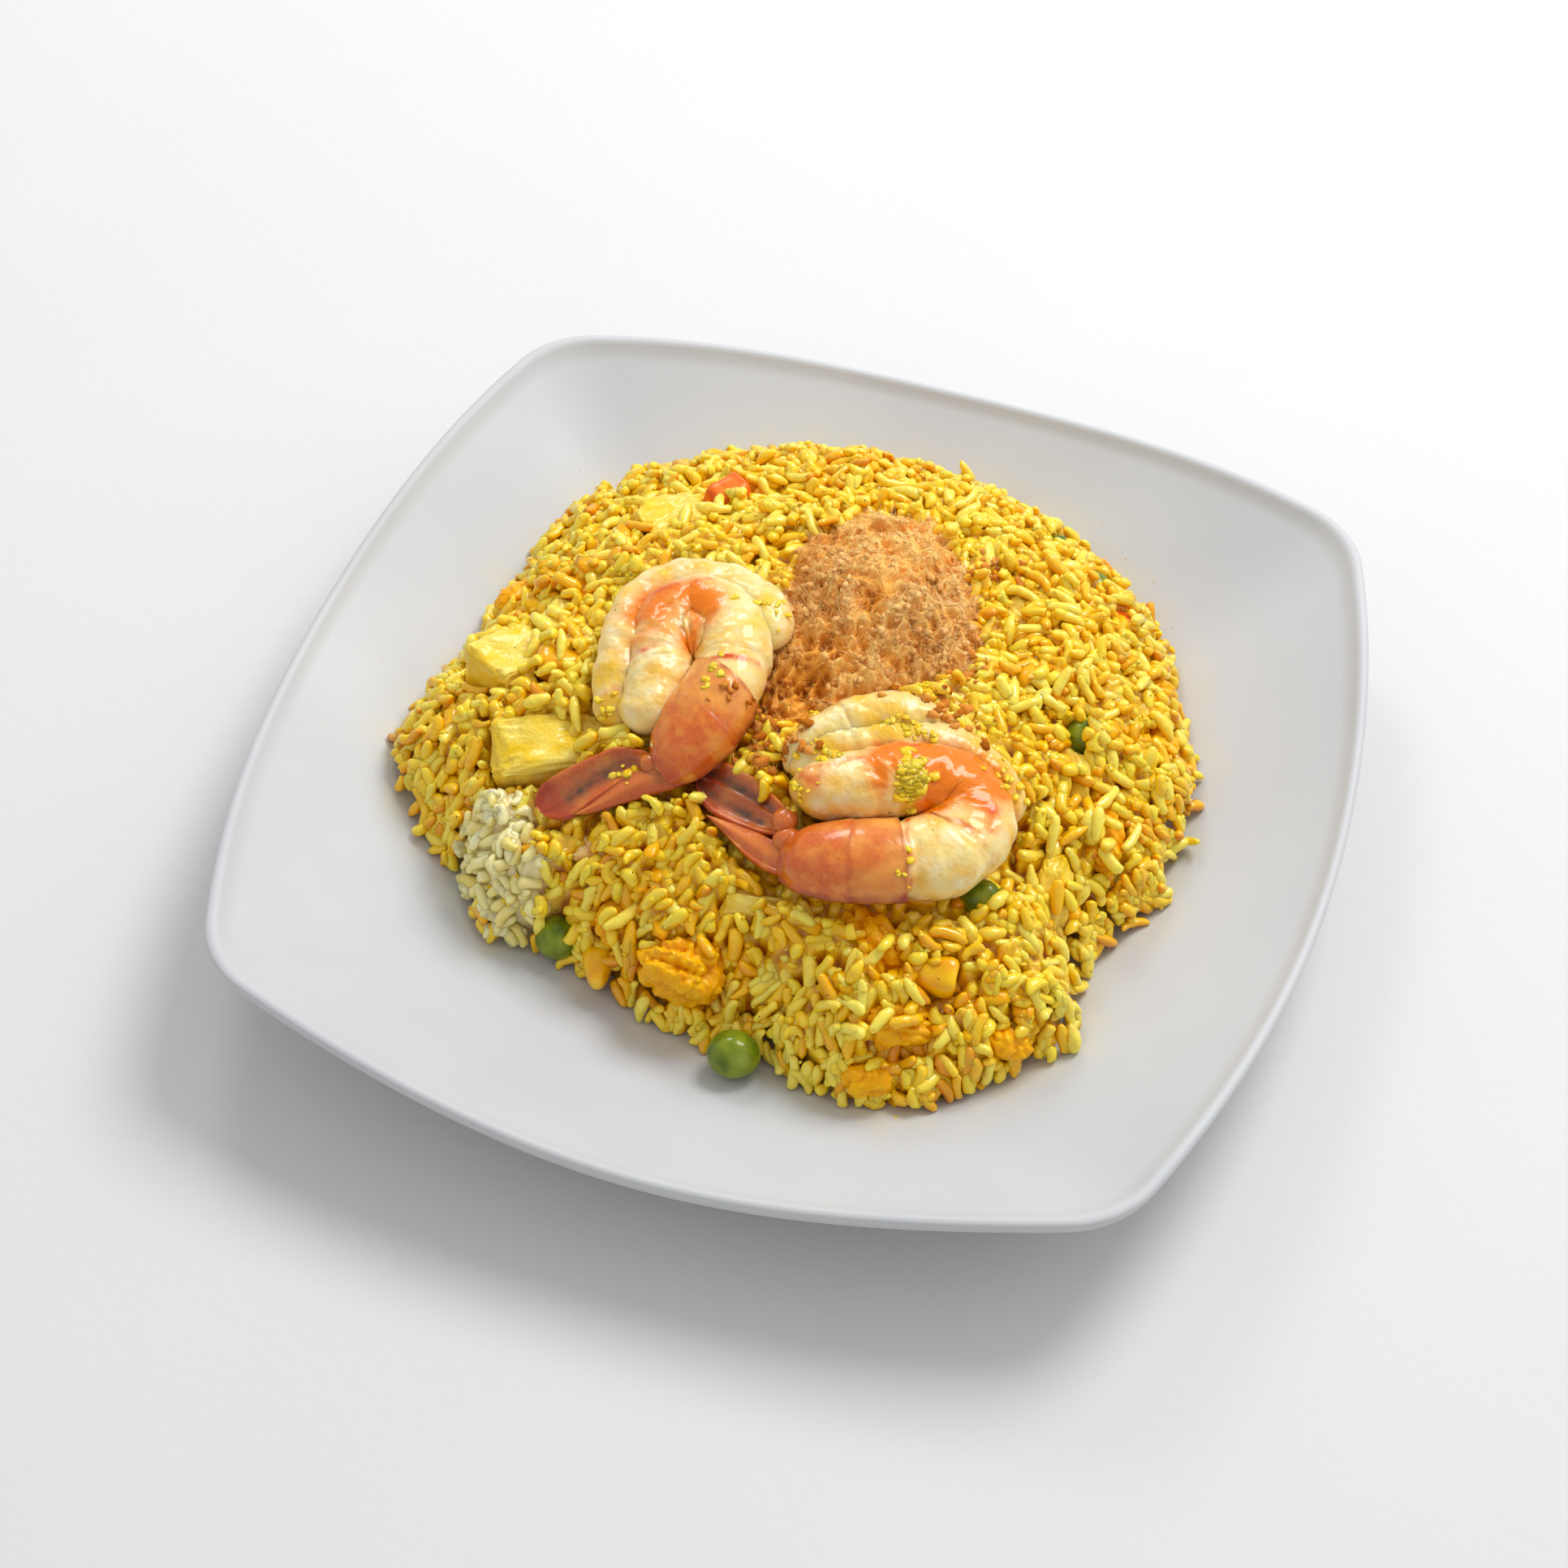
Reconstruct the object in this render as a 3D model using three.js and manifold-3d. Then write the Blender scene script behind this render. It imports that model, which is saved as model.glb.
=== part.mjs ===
// Yellow fried rice on a rounded square plate, with shrimps, meat floss, pineapple, egg and vegetables.
// Millimetres. +Z is up, and the origin is on the table under the middle of the plate.
// +X and +Y point at the middles of two neighbouring sides of the plate.
import * as THREE from 'three';
import * as BufferGeometryUtils from 'three/addons/utils/BufferGeometryUtils.js';
import { ImprovedNoise } from 'three/addons/math/ImprovedNoise.js';
import Module from 'manifold-3d';

const wasm = await Module();
wasm.setup();

// Plate, a coupe shape: a flat floor that curves up to a rim with raised corners
const PLATE_HALF = 115;
const SIDE_ARC_RADIUS = 262.5;
const CORNER_RADIUS = 22;
const RIM_HEIGHT = 24;
const CORNER_RISE = 5.2;
const FLOOR_HEIGHT = 5;
const FLAT_SHARE = 0.4;
const WALL = 3.2;
const FOOT_INNER = 0.45;
const FOOT_OUTER = 0.5;
const FOOT_RECESS = 1.5;
const RIM_BAND = 2.2;
const RIM_ROLL = 0.6;
const RIM_TOP_SHARE = 0.988;
const UNDERSIDE_SHARES = [0.62, 0.74, 0.86, 0.95];
const DISH_SHARES = [0.965, 0.88, 0.78, 0.68, 0.58, 0.49, FLAT_SHARE];
const PLATE_COLUMNS = 48;
const CORNER_CROWDING = 0.18;

// Rice heap
const HEAP_CENTRE = new THREE.Vector2(-3, 8);
const HEAP_RISE = 37;
const HEAP_SQUARENESS = 2.6;
const HEAP_ROUNDNESS = 0.62;
const HEAP_DETAIL = 10;
const HEAP_TOP_SHARE = 0.9;
const SEAT_GAP = 0.5;
const HEAP_EDGE = 1;
const GRAIN_BUMP = 2.4;
const GRAIN_SPACING = 3.3;
const GRAIN_LENGTH = 8.4;
const GRAIN_WIDTH = 2.8;
const EDGE_GRAINS = 26;
const GRAIN_SEED = 41;
const HEAP_OUTLINE = [
  [78, 24], [78, 8], [77, -8], [68, -27], [71, -47], [55, -65], [36, -75], [14, -68], [-12, -66],
  [-36, -56], [-50, -56], [-67, -40], [-84, -25], [-85, -8], [-80, 14], [-79, 34], [-72, 58],
  [-54, 77], [-28, 88], [2, 91], [28, 85], [52, 71], [66, 52],
];
const WHITE_RICE = [[-55, -45, 7.5], [-47, -52, 6]];
const FRIED_GARLIC = [[70, 22], [13, 79], [25, 58], [31, 57]];

// Meat floss, heaped over the top of the rice
const FLOSS_CENTRE = new THREE.Vector2(9, 24);
const FLOSS_RISE = 11;
const FLOSS_SINK = 3;
const FLOSS_DETAIL = 5;
const FLOSS_TOP_SHARE = 0.62;
const FLOSS_EDGE = 2.5;
const FLOSS_BUMP = 3;
const FLOSS_CLUMP = 7;
const FLOSS_OUTLINE = [
  [33, 21], [27, 41], [16, 58], [2, 64], [-11, 54], [-17, 36], [-13, 14], [-9, -6], [-4, -19], [5, -10],
  [21, 2],
];

// Shrimps, curled on their sides: each row of a path is a place in plan and a lift above the heap
const SHRIMP_WIDTH = 16;
const SHRIMP_HEIGHT = 13;
const SHRIMP_SECTION_SIDES = 7;
const BLADE_THICKNESS = 3;
const LEFT_BODY = [
  [-26, -23, 4], [-34, -11, 5], [-38, 4, 5], [-32, 14, 5], [-20, 12, 5], [-14, 1, 5], [-14, -12, 5],
  [-17, -22, 5], [-21, -30, 4],
];
const LEFT_LOBE = [[-24, -17, 5], [-27, -7, 6], [-28, 4, 6]];
const LEFT_BLADES = [
  { root: [-18, -28, 4], tip: [-48, -36, 5], width: 13 },
  { root: [-18, -31, 3], tip: [-46, -42, 4], width: 8 },
];
const RIGHT_BODY = [
  [8, -27, 4], [13, -18, 5], [24, -11, 5], [36, -9, 5], [43, -16, 4], [43, -28, 4], [35, -36, 5],
  [24, -41, 5], [14, -39, 4], [8, -36, 3],
];
const RIGHT_LOBE = [[3, -21, 3], [8, -10, 5], [15, -2, 5], [25, -1, 4], [33, -5, 4]];
const RIGHT_BLADES = [
  { root: [11, -34, 3], tip: [-15, -26, 2], width: 10 },
  { root: [11, -37, 3], tip: [-10, -37, 3], width: 8 },
];

// Pineapple wedges: length, width and thickness, turned about X, Y and Z in degrees
const PINEAPPLE = [
  { at: [-47, 45], size: [20, 15, 13], turn: [0, 0, 40], taper: 0.85, sink: 3 },
  { at: [-61, 9], size: [12, 9, 12], turn: [0, 10, 100], taper: 0.7, sink: 2 },
  { at: [-66, -5], size: [17, 15, 15], turn: [0, 12, 60], taper: 0.7, sink: 1 },
  { at: [-49, -24], size: [25, 16, 12], turn: [12, -6, 20], taper: 0.75, sink: 2 },
  { at: [21, 67], size: [14, 12, 9], turn: [-10, 10, -20], taper: 0.7, sink: 3 },
  { at: [36, 41], size: [13, 11, 8], turn: [0, 14, -30], taper: 0.7, sink: 2 },
  { at: [57, 8], size: [18, 10, 9], turn: [10, 20, -60], taper: 0.4, sink: 3 },
  { at: [-19, 47], size: [13, 10, 9], turn: [0, 0, 10], taper: 0.7, sink: 2 },
  { at: [60, -19], size: [17, 8, 9], turn: [15, 30, -70], taper: 0.6, sink: 3 },
  { at: [45, -43], size: [10, 9, 9], turn: [0, 20, 30], taper: 0.7, sink: 3 },
  { at: [5, -47], size: [15, 9, 8], turn: [20, 0, 10], taper: 0.7, sink: 3 },
];

// Carrot: two diced blocks and a slice
const CARROT_BLOCKS = [
  { at: [-37, 54], size: [10, 7, 12], turn: [0, 0, 60], sink: 1 },
  { at: [-17, 76], size: [10, 7, 7], turn: [0, 10, 20], sink: 1 },
];
const CARROT_SLICE = { at: [53, 58], size: [11, 5], turn: [-50, 20, 0], sink: 1 };

// Peas: the first two lie on the plate at a height of their own
const PEAS = [
  { at: [-36, -56, 11.8], size: [9.6, 9.6, 9.2] },
  { at: [9, -73, 13.4], size: [11, 10, 10] },
  { at: [34, 72], size: [8, 8, 8], sink: 1 },
  { at: [45, 64], size: [8, 8, 8], sink: 1 },
  { at: [56, 17], size: [8, 9, 8], sink: 1 },
  { at: [49, -32], size: [9, 8, 8], sink: 1 },
];
const PEA_WRINKLE = 0.05;

const CORN = [
  { at: [-54, -4], size: [11, 9, 9], turn: [0, 0, 200], sink: -1 },
  { at: [44, -52], size: [12, 10, 9], turn: [20, 0, 10], sink: -1 },
  { at: [-25, -61, 12.2], size: [10, 8, 7.5], turn: [0, 0, 110] },
];

// Scrambled egg: torn wrinkled lumps
const EGG = [
  { at: [-72, 25], size: [19, 6, 6], turn: [0, 0, 55], sink: 1 },
  { at: [31, -49], size: [15, 9, 9], turn: [20, 20, -40], sink: 2 },
  { at: [40, -62], size: [14, 9, 9], turn: [30, 10, 30], sink: 2 },
  { at: [61, -55], size: [11, 6, 5], turn: [0, 0, 10], sink: 0 },
  { at: [64, 43], size: [10, 7, 6], turn: [20, 0, 30], sink: 1 },
  { at: [71, 29], size: [8, 7, 6], turn: [0, 20, -20], sink: 1 },
  { at: [46, 22], size: [10, 8, 6], turn: [0, 10, 20], sink: 1 },
  { at: [66, -2], size: [16, 8, 7], turn: [0, 20, -70], sink: 2 },
  { at: [-60, 21], size: [12, 7, 6], turn: [0, 0, -30], sink: 1 },
  { at: [37, -72], size: [9, 7, 6], turn: [0, 0, 30], sink: 1 },
  { at: [-6, -60], size: [16, 13, 15], turn: [20, 0, 0], sink: 1 },
  { at: [-22, -54], size: [11, 9, 7], turn: [20, 0, 20], sink: 1 },
  { at: [-30, -42], size: [14, 8, 6], turn: [0, 0, 15], sink: 1 },
];
const EGG_WRINKLE = 0.3;

// Gaps between the pieces, and how closely corners count as one
const PIECE_GAP = 0.6;
const MERGE_TOLERANCE = 1e-4;

const noise = new ImprovedNoise();

// Numbers that repeat from one run to the next
function seeded(seed) {
  THREE.MathUtils.seededRandom(seed);
  return (low, high) => low + (high - low) * THREE.MathUtils.seededRandom();
}

// A geometry with shared corners and no collapsed triangles, which is one closed surface
function closed(geometry) {
  geometry.deleteAttribute('normal');
  geometry.deleteAttribute('uv');
  const merged = BufferGeometryUtils.mergeVertices(geometry, MERGE_TOLERANCE);
  const corners = merged.index.array;
  const kept = [];
  for (let i = 0; i < corners.length; i += 3) {
    const [a, b, c] = [corners[i], corners[i + 1], corners[i + 2]];
    if (a !== b && b !== c && c !== a) kept.push(a, b, c);
  }
  merged.setIndex(kept);
  return merged;
}

// Moves every corner of a geometry by a rule that rewrites the point it is given
function reshape(geometry, rule) {
  const position = geometry.attributes.position;
  const point = new THREE.Vector3();
  for (let i = 0; i < position.count; i++) {
    point.fromBufferAttribute(position, i);
    rule(point);
    position.setXYZ(i, point.x, point.y, point.z);
  }
  return geometry;
}

// The same surface moved outwards along its corner normals
function grown(geometry, distance) {
  const copy = geometry.clone();
  copy.computeVertexNormals();
  const normal = copy.attributes.normal;
  const position = copy.attributes.position;
  for (let i = 0; i < position.count; i++) {
    position.setXYZ(
      i,
      position.getX(i) + normal.getX(i) * distance,
      position.getY(i) + normal.getY(i) * distance,
      position.getZ(i) + normal.getZ(i) * distance,
    );
  }
  return copy;
}

function solidOf(geometry) {
  const vertProperties = new Float32Array(geometry.attributes.position.array);
  const triVerts = new Uint32Array(geometry.index.array);
  return new wasm.Manifold(new wasm.Mesh({ numProp: 3, vertProperties, triVerts }));
}

function geometryOf(solid) {
  const mesh = solid.getMesh();
  const geometry = new THREE.BufferGeometry();
  geometry.setAttribute('position', new THREE.BufferAttribute(mesh.vertProperties, 3));
  geometry.setIndex(new THREE.BufferAttribute(mesh.triVerts, 1));
  return geometry;
}

// The largest separate body of a solid that a cut may have left in pieces
function largestBody(solid) {
  const bodies = solid.decompose();
  return bodies.reduce((best, body) => (body.volume() > best.volume() ? body : best));
}

// Rounded square of the plate: side arcs joined by tangent corner arcs, as a radius for each angle
const sideCentre = PLATE_HALF - SIDE_ARC_RADIUS;
const arcGap = SIDE_ARC_RADIUS - CORNER_RADIUS;
const cornerCentre = (sideCentre + Math.sqrt(2 * arcGap ** 2 - sideCentre ** 2)) / 2;
const tangent = new THREE.Vector2(cornerCentre - sideCentre, cornerCentre).setLength(SIDE_ARC_RADIUS);
const tangentAngle = Math.atan2(tangent.y, tangent.x + sideCentre);

function rimRadius(angle) {
  const quarter = Math.PI / 2;
  const folded = Math.abs(THREE.MathUtils.euclideanModulo(angle + quarter / 2, quarter) - quarter / 2);
  const [c, s] = [Math.cos(folded), Math.sin(folded)];
  if (folded < tangentAngle) {
    return sideCentre * c + Math.sqrt(SIDE_ARC_RADIUS ** 2 - (sideCentre * s) ** 2);
  }
  return cornerCentre * (c + s) + Math.sqrt(CORNER_RADIUS ** 2 - (cornerCentre * (c - s)) ** 2);
}

// Level lines of the plate turn from a circle at the middle into the rim's outline
function levelRadius(angle, share) {
  return share * THREE.MathUtils.lerp(PLATE_HALF, rimRadius(angle), share);
}

function levelShare(x, y) {
  const bulge = rimRadius(Math.atan2(y, x)) - PLATE_HALF;
  const radius = Math.hypot(x, y);
  return (2 * radius) / (PLATE_HALF + Math.sqrt(PLATE_HALF ** 2 + 4 * bulge * radius));
}

// Climb of the coupe: nothing on the flat floor, one at the rim
function climb(share) {
  return Math.max((share - FLAT_SHARE) / (1 - FLAT_SHARE), 0) ** 2;
}

function cornerLift(angle, share) {
  return CORNER_RISE * Math.sin(2 * angle) ** 2 * climb(share);
}

function plateTop(x, y) {
  const share = levelShare(x, y);
  return FLOOR_HEIGHT + (RIM_HEIGHT - FLOOR_HEIGHT) * climb(share) + cornerLift(Math.atan2(y, x), share);
}

// Turned profile of the plate, then its level lines are squared and its corners raised
function plateGeometry() {
  const topAt = (share) => FLOOR_HEIGHT + (RIM_HEIGHT - FLOOR_HEIGHT) * climb(share);
  const at = (share, height) => new THREE.Vector2(share * PLATE_HALF, height);
  const underside = UNDERSIDE_SHARES.map((share) => at(share, topAt(share) - WALL));
  const dish = DISH_SHARES.map((share) => at(share, topAt(share)));
  const rim = [
    at(RIM_TOP_SHARE, RIM_HEIGHT - 2 * RIM_BAND),
    at(1, RIM_HEIGHT - 1.5 * RIM_BAND),
    at(1, RIM_HEIGHT - RIM_ROLL),
    at(RIM_TOP_SHARE, RIM_HEIGHT),
  ];
  const profile = [
    new THREE.Vector2(0, FOOT_RECESS),
    at(FOOT_INNER - 0.02, FOOT_RECESS),
    at(FOOT_INNER, 0),
    at(FOOT_OUTER, 0),
    at(FOOT_OUTER + 0.02, FOOT_RECESS + 0.6),
    ...underside,
    ...rim,
    ...dish,
    new THREE.Vector2(0, FLOOR_HEIGHT),
  ];
  const lathe = new THREE.LatheGeometry(profile, PLATE_COLUMNS).rotateX(Math.PI / 2);
  return reshape(closed(lathe), (p) => {
    const even = Math.atan2(p.y, p.x);
    const angle = even + CORNER_CROWDING * Math.sin(4 * even);
    const share = Math.hypot(p.x, p.y) / PLATE_HALF;
    const radius = levelRadius(angle, share);
    const lift = p.z > FOOT_RECESS ? cornerLift(angle, share) : 0;
    p.set(radius * Math.cos(angle), radius * Math.sin(angle), p.z + lift);
  });
}

// Radius of a closed smooth outline in any direction from its centre
function outlineRadius(points, centre) {
  const curve = new THREE.CatmullRomCurve3(points.map(([x, y]) => new THREE.Vector3(x, y, 0)), true);
  const polar = curve.getPoints(12 * points.length).slice(0, -1).map((p) => ({
    angle: Math.atan2(p.y - centre.y, p.x - centre.x),
    radius: Math.hypot(p.x - centre.x, p.y - centre.y),
  }));
  polar.sort((a, b) => a.angle - b.angle);
  const first = polar[0];
  const last = polar[polar.length - 1];
  polar.unshift({ angle: last.angle - 2 * Math.PI, radius: last.radius });
  polar.push({ angle: first.angle + 2 * Math.PI, radius: first.radius });
  return (angle) => {
    const next = polar.findIndex((entry) => entry.angle >= angle);
    const [a, b] = [polar[Math.max(next - 1, 0)], polar[next]];
    const part = b.angle > a.angle ? (angle - a.angle) / (b.angle - a.angle) : 0;
    return THREE.MathUtils.lerp(a.radius, b.radius, part);
  };
}

const heapRadius = outlineRadius(HEAP_OUTLINE, HEAP_CENTRE);
const flossRadius = outlineRadius(FLOSS_OUTLINE, FLOSS_CENTRE);

// Smooth surface of the heap, without the bumps of its grains
function heapTop(x, y) {
  const [dx, dy] = [x - HEAP_CENTRE.x, y - HEAP_CENTRE.y];
  const share = Math.min(Math.hypot(dx, dy) / heapRadius(Math.atan2(dy, dx)), 1);
  return plateTop(x, y) + HEAP_RISE * (1 - share ** HEAP_SQUARENESS) ** HEAP_ROUNDNESS;
}

// Heap with a bumpy top over a smooth underside: a ball whose upper share spreads over the top
function mound({ detail, topShare, centre, radius, top, bottom, edge, bump, spacing }) {
  const ball = closed(new THREE.IcosahedronGeometry(1, detail));
  return reshape(ball, (p) => {
    const angle = Math.atan2(p.y, p.x);
    const drop = (1 - p.z) / 2;
    const above = drop < topShare;
    const share = Math.sqrt(above ? drop / topShare : (1 - drop) / (1 - topShare));
    const reach = share * radius(angle);
    const x = centre.x + reach * Math.cos(angle);
    const y = centre.y + reach * Math.sin(angle);
    const under = bottom(x, y);
    const bumps = bump * noise.noise(x / spacing, y / spacing, spacing);
    p.set(x, y, above ? Math.max(top(x, y, share) + bumps, under + edge) : under);
  });
}

// One short plump grain, lying along a direction in plan
function grain(x, y, z, yaw, pitch) {
  return closed(new THREE.IcosahedronGeometry(1, 0))
    .scale(GRAIN_LENGTH / 2, GRAIN_WIDTH / 2, GRAIN_WIDTH / 2)
    .rotateY(pitch)
    .rotateZ(yaw)
    .translate(x, y, z);
}

// Grains that stick out of the heap's foot and shoulder, spread evenly round it
function looseGrains() {
  const random = seeded(GRAIN_SEED);
  return Array.from({ length: EDGE_GRAINS }, (_, i) => {
    const angle = (2 * Math.PI * (i + random(-0.3, 0.3))) / EDGE_GRAINS - Math.PI;
    const turn = Math.atan2(Math.sin(angle), Math.cos(angle));
    const share = i % 2 ? random(0.985, 1.01) : random(0.72, 0.95);
    const x = HEAP_CENTRE.x + share * heapRadius(turn) * Math.cos(turn);
    const y = HEAP_CENTRE.y + share * heapRadius(turn) * Math.sin(turn);
    const low = plateTop(x, y) + SEAT_GAP + GRAIN_WIDTH * 0.9;
    const yaw = random(0, Math.PI);
    const pitch = i % 2 ? random(-0.05, 0.05) : random(-0.5, 0.5);
    return grain(x, y, Math.max(heapTop(x, y) + (i % 2 ? -2 : 0.6), low), yaw, pitch);
  });
}

// A small uneven lump: a ball, wrinkled, flattened, turned and set on the heap
function lump({ at, size, turn = [0, 0, 0], wrinkle = EGG_WRINKLE, sides = 7, sink = 0 }) {
  const ball = closed(new THREE.SphereGeometry(1, sides, sides - 2).rotateX(Math.PI / 2));
  const ripple = 1.4;
  reshape(ball, (p) => {
    const wave = noise.noise(p.x * ripple + at[0], p.y * ripple + at[1], p.z * ripple);
    p.multiplyScalar(1 + 1.8 * wrinkle * wave);
  });
  return placed(ball.scale(size[0] / 2, size[1] / 2, size[2] / 2), at, turn, sink);
}

// Turns a piece about its own middle and sets it on the heap, sunk by a depth
function placed(geometry, at, turn, sink) {
  const [rx, ry, rz] = turn.map(THREE.MathUtils.degToRad);
  const height = at.length > 2 ? at[2] : heapTop(at[0], at[1]) - sink;
  const tilt = new THREE.Matrix4().makeRotationFromEuler(new THREE.Euler(rx, ry, rz, 'ZYX'));
  return geometry.applyMatrix4(tilt).translate(at[0], at[1], height);
}

// A pineapple chunk: a wedge cut from a ring, wide at the rind side, with slightly rounded edges
function wedge({ at, size, turn, taper, sink }) {
  const [length, width, thickness] = size;
  const edge = 0.7;
  const [half, outer, inner] = [length / 2 - edge, width / 2 - edge, (width / 2 - edge) * taper];
  const shape = new THREE.Shape();
  shape.moveTo(-half, -outer);
  shape.lineTo(half, -inner);
  shape.lineTo(half, inner);
  shape.lineTo(-half, outer);
  shape.quadraticCurveTo(-half - edge * 2, 0, -half, -outer);
  const block = new THREE.ExtrudeGeometry(shape, {
    depth: thickness - 2 * edge,
    curveSegments: 3,
    bevelSize: edge,
    bevelThickness: edge,
    bevelSegments: 1,
  }).translate(0, 0, edge - thickness / 2);
  return placed(closed(block), at, turn, sink);
}

// A kernel of sweetcorn: a ball drawn in to a narrow root
function kernel({ at, size, turn = [0, 0, 0], sink = 0 }) {
  const ball = closed(new THREE.IcosahedronGeometry(1, 1));
  reshape(ball, (p) => {
    const root = 0.72 + 0.28 * p.x;
    p.set(p.x, p.y * root, p.z * root);
  });
  return placed(ball.scale(size[0] / 2, size[1] / 2, size[2] / 2), at, turn, sink);
}

function slice({ at, size, turn, sink }) {
  const disc = new THREE.CylinderGeometry(size[0] / 2, size[0] / 2, size[1], 14).rotateX(Math.PI / 2);
  return placed(closed(disc), at, turn, sink);
}

function dice({ at, size, turn, sink }) {
  return placed(closed(new THREE.BoxGeometry(...size)), at, turn, sink);
}

// A solid carried along a curve: the ball's rows become rounded sections that lie flat on the heap
function limb({ path, width = SHRIMP_WIDTH, height = SHRIMP_HEIGHT, thinning, rounded }) {
  const points = path.map(([x, y, lift]) => new THREE.Vector3(x, y, heapTop(x, y) + lift));
  const curve = new THREE.CatmullRomCurve3(points);
  const rows = path.length + 6;
  const ball = closed(new THREE.SphereGeometry(1, SHRIMP_SECTION_SIDES, rows).rotateX(Math.PI / 2));
  return reshape(ball, (p) => {
    const along = 1 - Math.acos(THREE.MathUtils.clamp(p.z, -1, 1)) / Math.PI;
    const ring = Math.hypot(p.x, p.y);
    const spot = curve.getPointAt(along);
    const ahead = curve.getTangentAt(along);
    const side = new THREE.Vector3(0, 0, 1).cross(ahead).normalize();
    const up = ahead.clone().cross(side);
    const nearest = Math.min(along, 1 - along) / rounded;
    const dome = nearest < 1 ? Math.sqrt(1 - (1 - nearest) ** 2) : 1;
    const girth = ring > 0 ? (dome * (1 - thinning * along ** 2)) / ring : 0;
    const [across, high] = [p.x * girth * width / 2, p.y * girth * height / 2];
    p.copy(spot).addScaledVector(side, across).addScaledVector(up, high);
  });
}

// One blade of a tail fan, a flat pointed leaf from its root to its tip
function blade({ root, tip, width }) {
  const from = new THREE.Vector3(root[0], root[1], heapTop(root[0], root[1]) + root[2]);
  const to = new THREE.Vector3(tip[0], tip[1], heapTop(tip[0], tip[1]) + tip[2]);
  const ahead = to.clone().sub(from).normalize();
  const side = new THREE.Vector3(0, 0, 1).cross(ahead).normalize();
  const up = ahead.clone().cross(side);
  const leaf = closed(new THREE.IcosahedronGeometry(1, 1));
  return reshape(leaf, (p) => {
    const pinch = 0.8 - 0.35 * p.x;
    const centre = from.clone().lerp(to, (p.x + 1) / 2);
    const [across, high] = [p.y * pinch * width / 2, p.z * BLADE_THICKNESS / 2];
    p.copy(centre).addScaledVector(side, across).addScaledVector(up, high);
  });
}

function fused(geometries) {
  return geometryOf(geometries.map(solidOf).reduce((sum, part) => sum.add(part)));
}

// Left shrimp: curled from its head end to the tail joint, then the fan that points away from the curl
function leftShrimp() {
  const body = limb({ path: LEFT_BODY, thinning: 0.5, rounded: 0.08 });
  const lobe = limb({ path: LEFT_LOBE, width: 13, height: 11, thinning: 0.2, rounded: 0.3 });
  return fused([body, lobe, ...LEFT_BLADES.map(blade)]);
}

// Right shrimp: its split back opens into two lobes at the head end
function rightShrimp() {
  const body = limb({ path: RIGHT_BODY, thinning: 0.45, rounded: 0.08 });
  const backLobe = limb({ path: RIGHT_LOBE, width: 13, height: 11, thinning: 0.3, rounded: 0.2 });
  return fused([body, backLobe, ...RIGHT_BLADES.map(blade)]);
}

function flossGeometry() {
  return mound({
    detail: FLOSS_DETAIL,
    topShare: FLOSS_TOP_SHARE,
    centre: FLOSS_CENTRE,
    radius: flossRadius,
    top: (x, y, share) => heapTop(x, y) + FLOSS_RISE * (1 - share ** 2),
    bottom: (x, y) => heapTop(x, y) - FLOSS_SINK,
    edge: FLOSS_EDGE,
    bump: FLOSS_BUMP,
    spacing: FLOSS_CLUMP,
  });
}

// Everything on the heap as name, shape and colour. A later piece is cut back where it meets an earlier one.
function numbered(name, shapes, color) {
  return shapes.map((shape, i) => [`${name}_${i + 1}`, shape, color]);
}

const carrots = [...CARROT_BLOCKS.map(dice), slice(CARROT_SLICE)];
const peas = PEAS.map((pea) => lump({ ...pea, wrinkle: PEA_WRINKLE }));
const toppings = [
  ['shrimp_left', leftShrimp(), 0xf2b48c],
  ['shrimp_right', rightShrimp(), 0xf2a987],
  ...numbered('pineapple', PINEAPPLE.map(wedge), 0xf2d84a),
  ...numbered('carrot', carrots, 0xf0742a),
  ...numbered('pea', peas, 0x5f9a2c),
  ...numbered('corn', CORN.map(kernel), 0xf7c81e),
  ...numbered('egg', EGG.map(lump), 0xf0b429),
  ['floss', flossGeometry(), 0xdb9a58],
];

function boxesMeet(a, b) {
  a.computeBoundingBox();
  b.computeBoundingBox();
  return a.boundingBox.intersectsBox(b.boundingBox);
}

// Cuts a geometry back from the room of every other one that it may meet
function cutBack(geometry, rooms) {
  const near = rooms.filter((room) => boxesMeet(geometry, room));
  if (near.length === 0) return geometry;
  const left = near.reduce((rest, room) => rest.subtract(solidOf(room)), solidOf(geometry));
  return geometryOf(largestBody(left));
}

// Rice: the core with white clumps, garlic bits and loose grains fused on, hollowed for what is sunk in it
function riceGeometry(rooms) {
  const core = mound({
    detail: HEAP_DETAIL,
    topShare: HEAP_TOP_SHARE,
    centre: HEAP_CENTRE,
    radius: heapRadius,
    top: heapTop,
    bottom: (x, y) => plateTop(x, y) + SEAT_GAP,
    edge: HEAP_EDGE,
    bump: GRAIN_BUMP,
    spacing: GRAIN_SPACING,
  });
  const clumps = WHITE_RICE.map(([x, y, radius]) => (
    lump({ at: [x, y], size: [2 * radius, 2 * radius, 2 * radius], wrinkle: 0.15, sink: 1 })
  ));
  const garlic = FRIED_GARLIC.map(([x, y]) => lump({ at: [x, y], size: [5, 4, 4], sides: 5 }));
  const clear = looseGrains().filter((one) => !rooms.some((room) => boxesMeet(one, room)));
  return cutBack(fused([core, ...clumps, ...garlic, ...clear]), rooms);
}

function coloured(name, geometry, color, roughness) {
  geometry.computeVertexNormals();
  const mesh = new THREE.Mesh(geometry, new THREE.MeshStandardMaterial({ color, roughness, metalness: 0 }));
  mesh.name = name;
  return mesh;
}

const dish = new THREE.Group();
dish.add(coloured('plate', plateGeometry(), 0xe9e9ec, 0.3));

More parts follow.
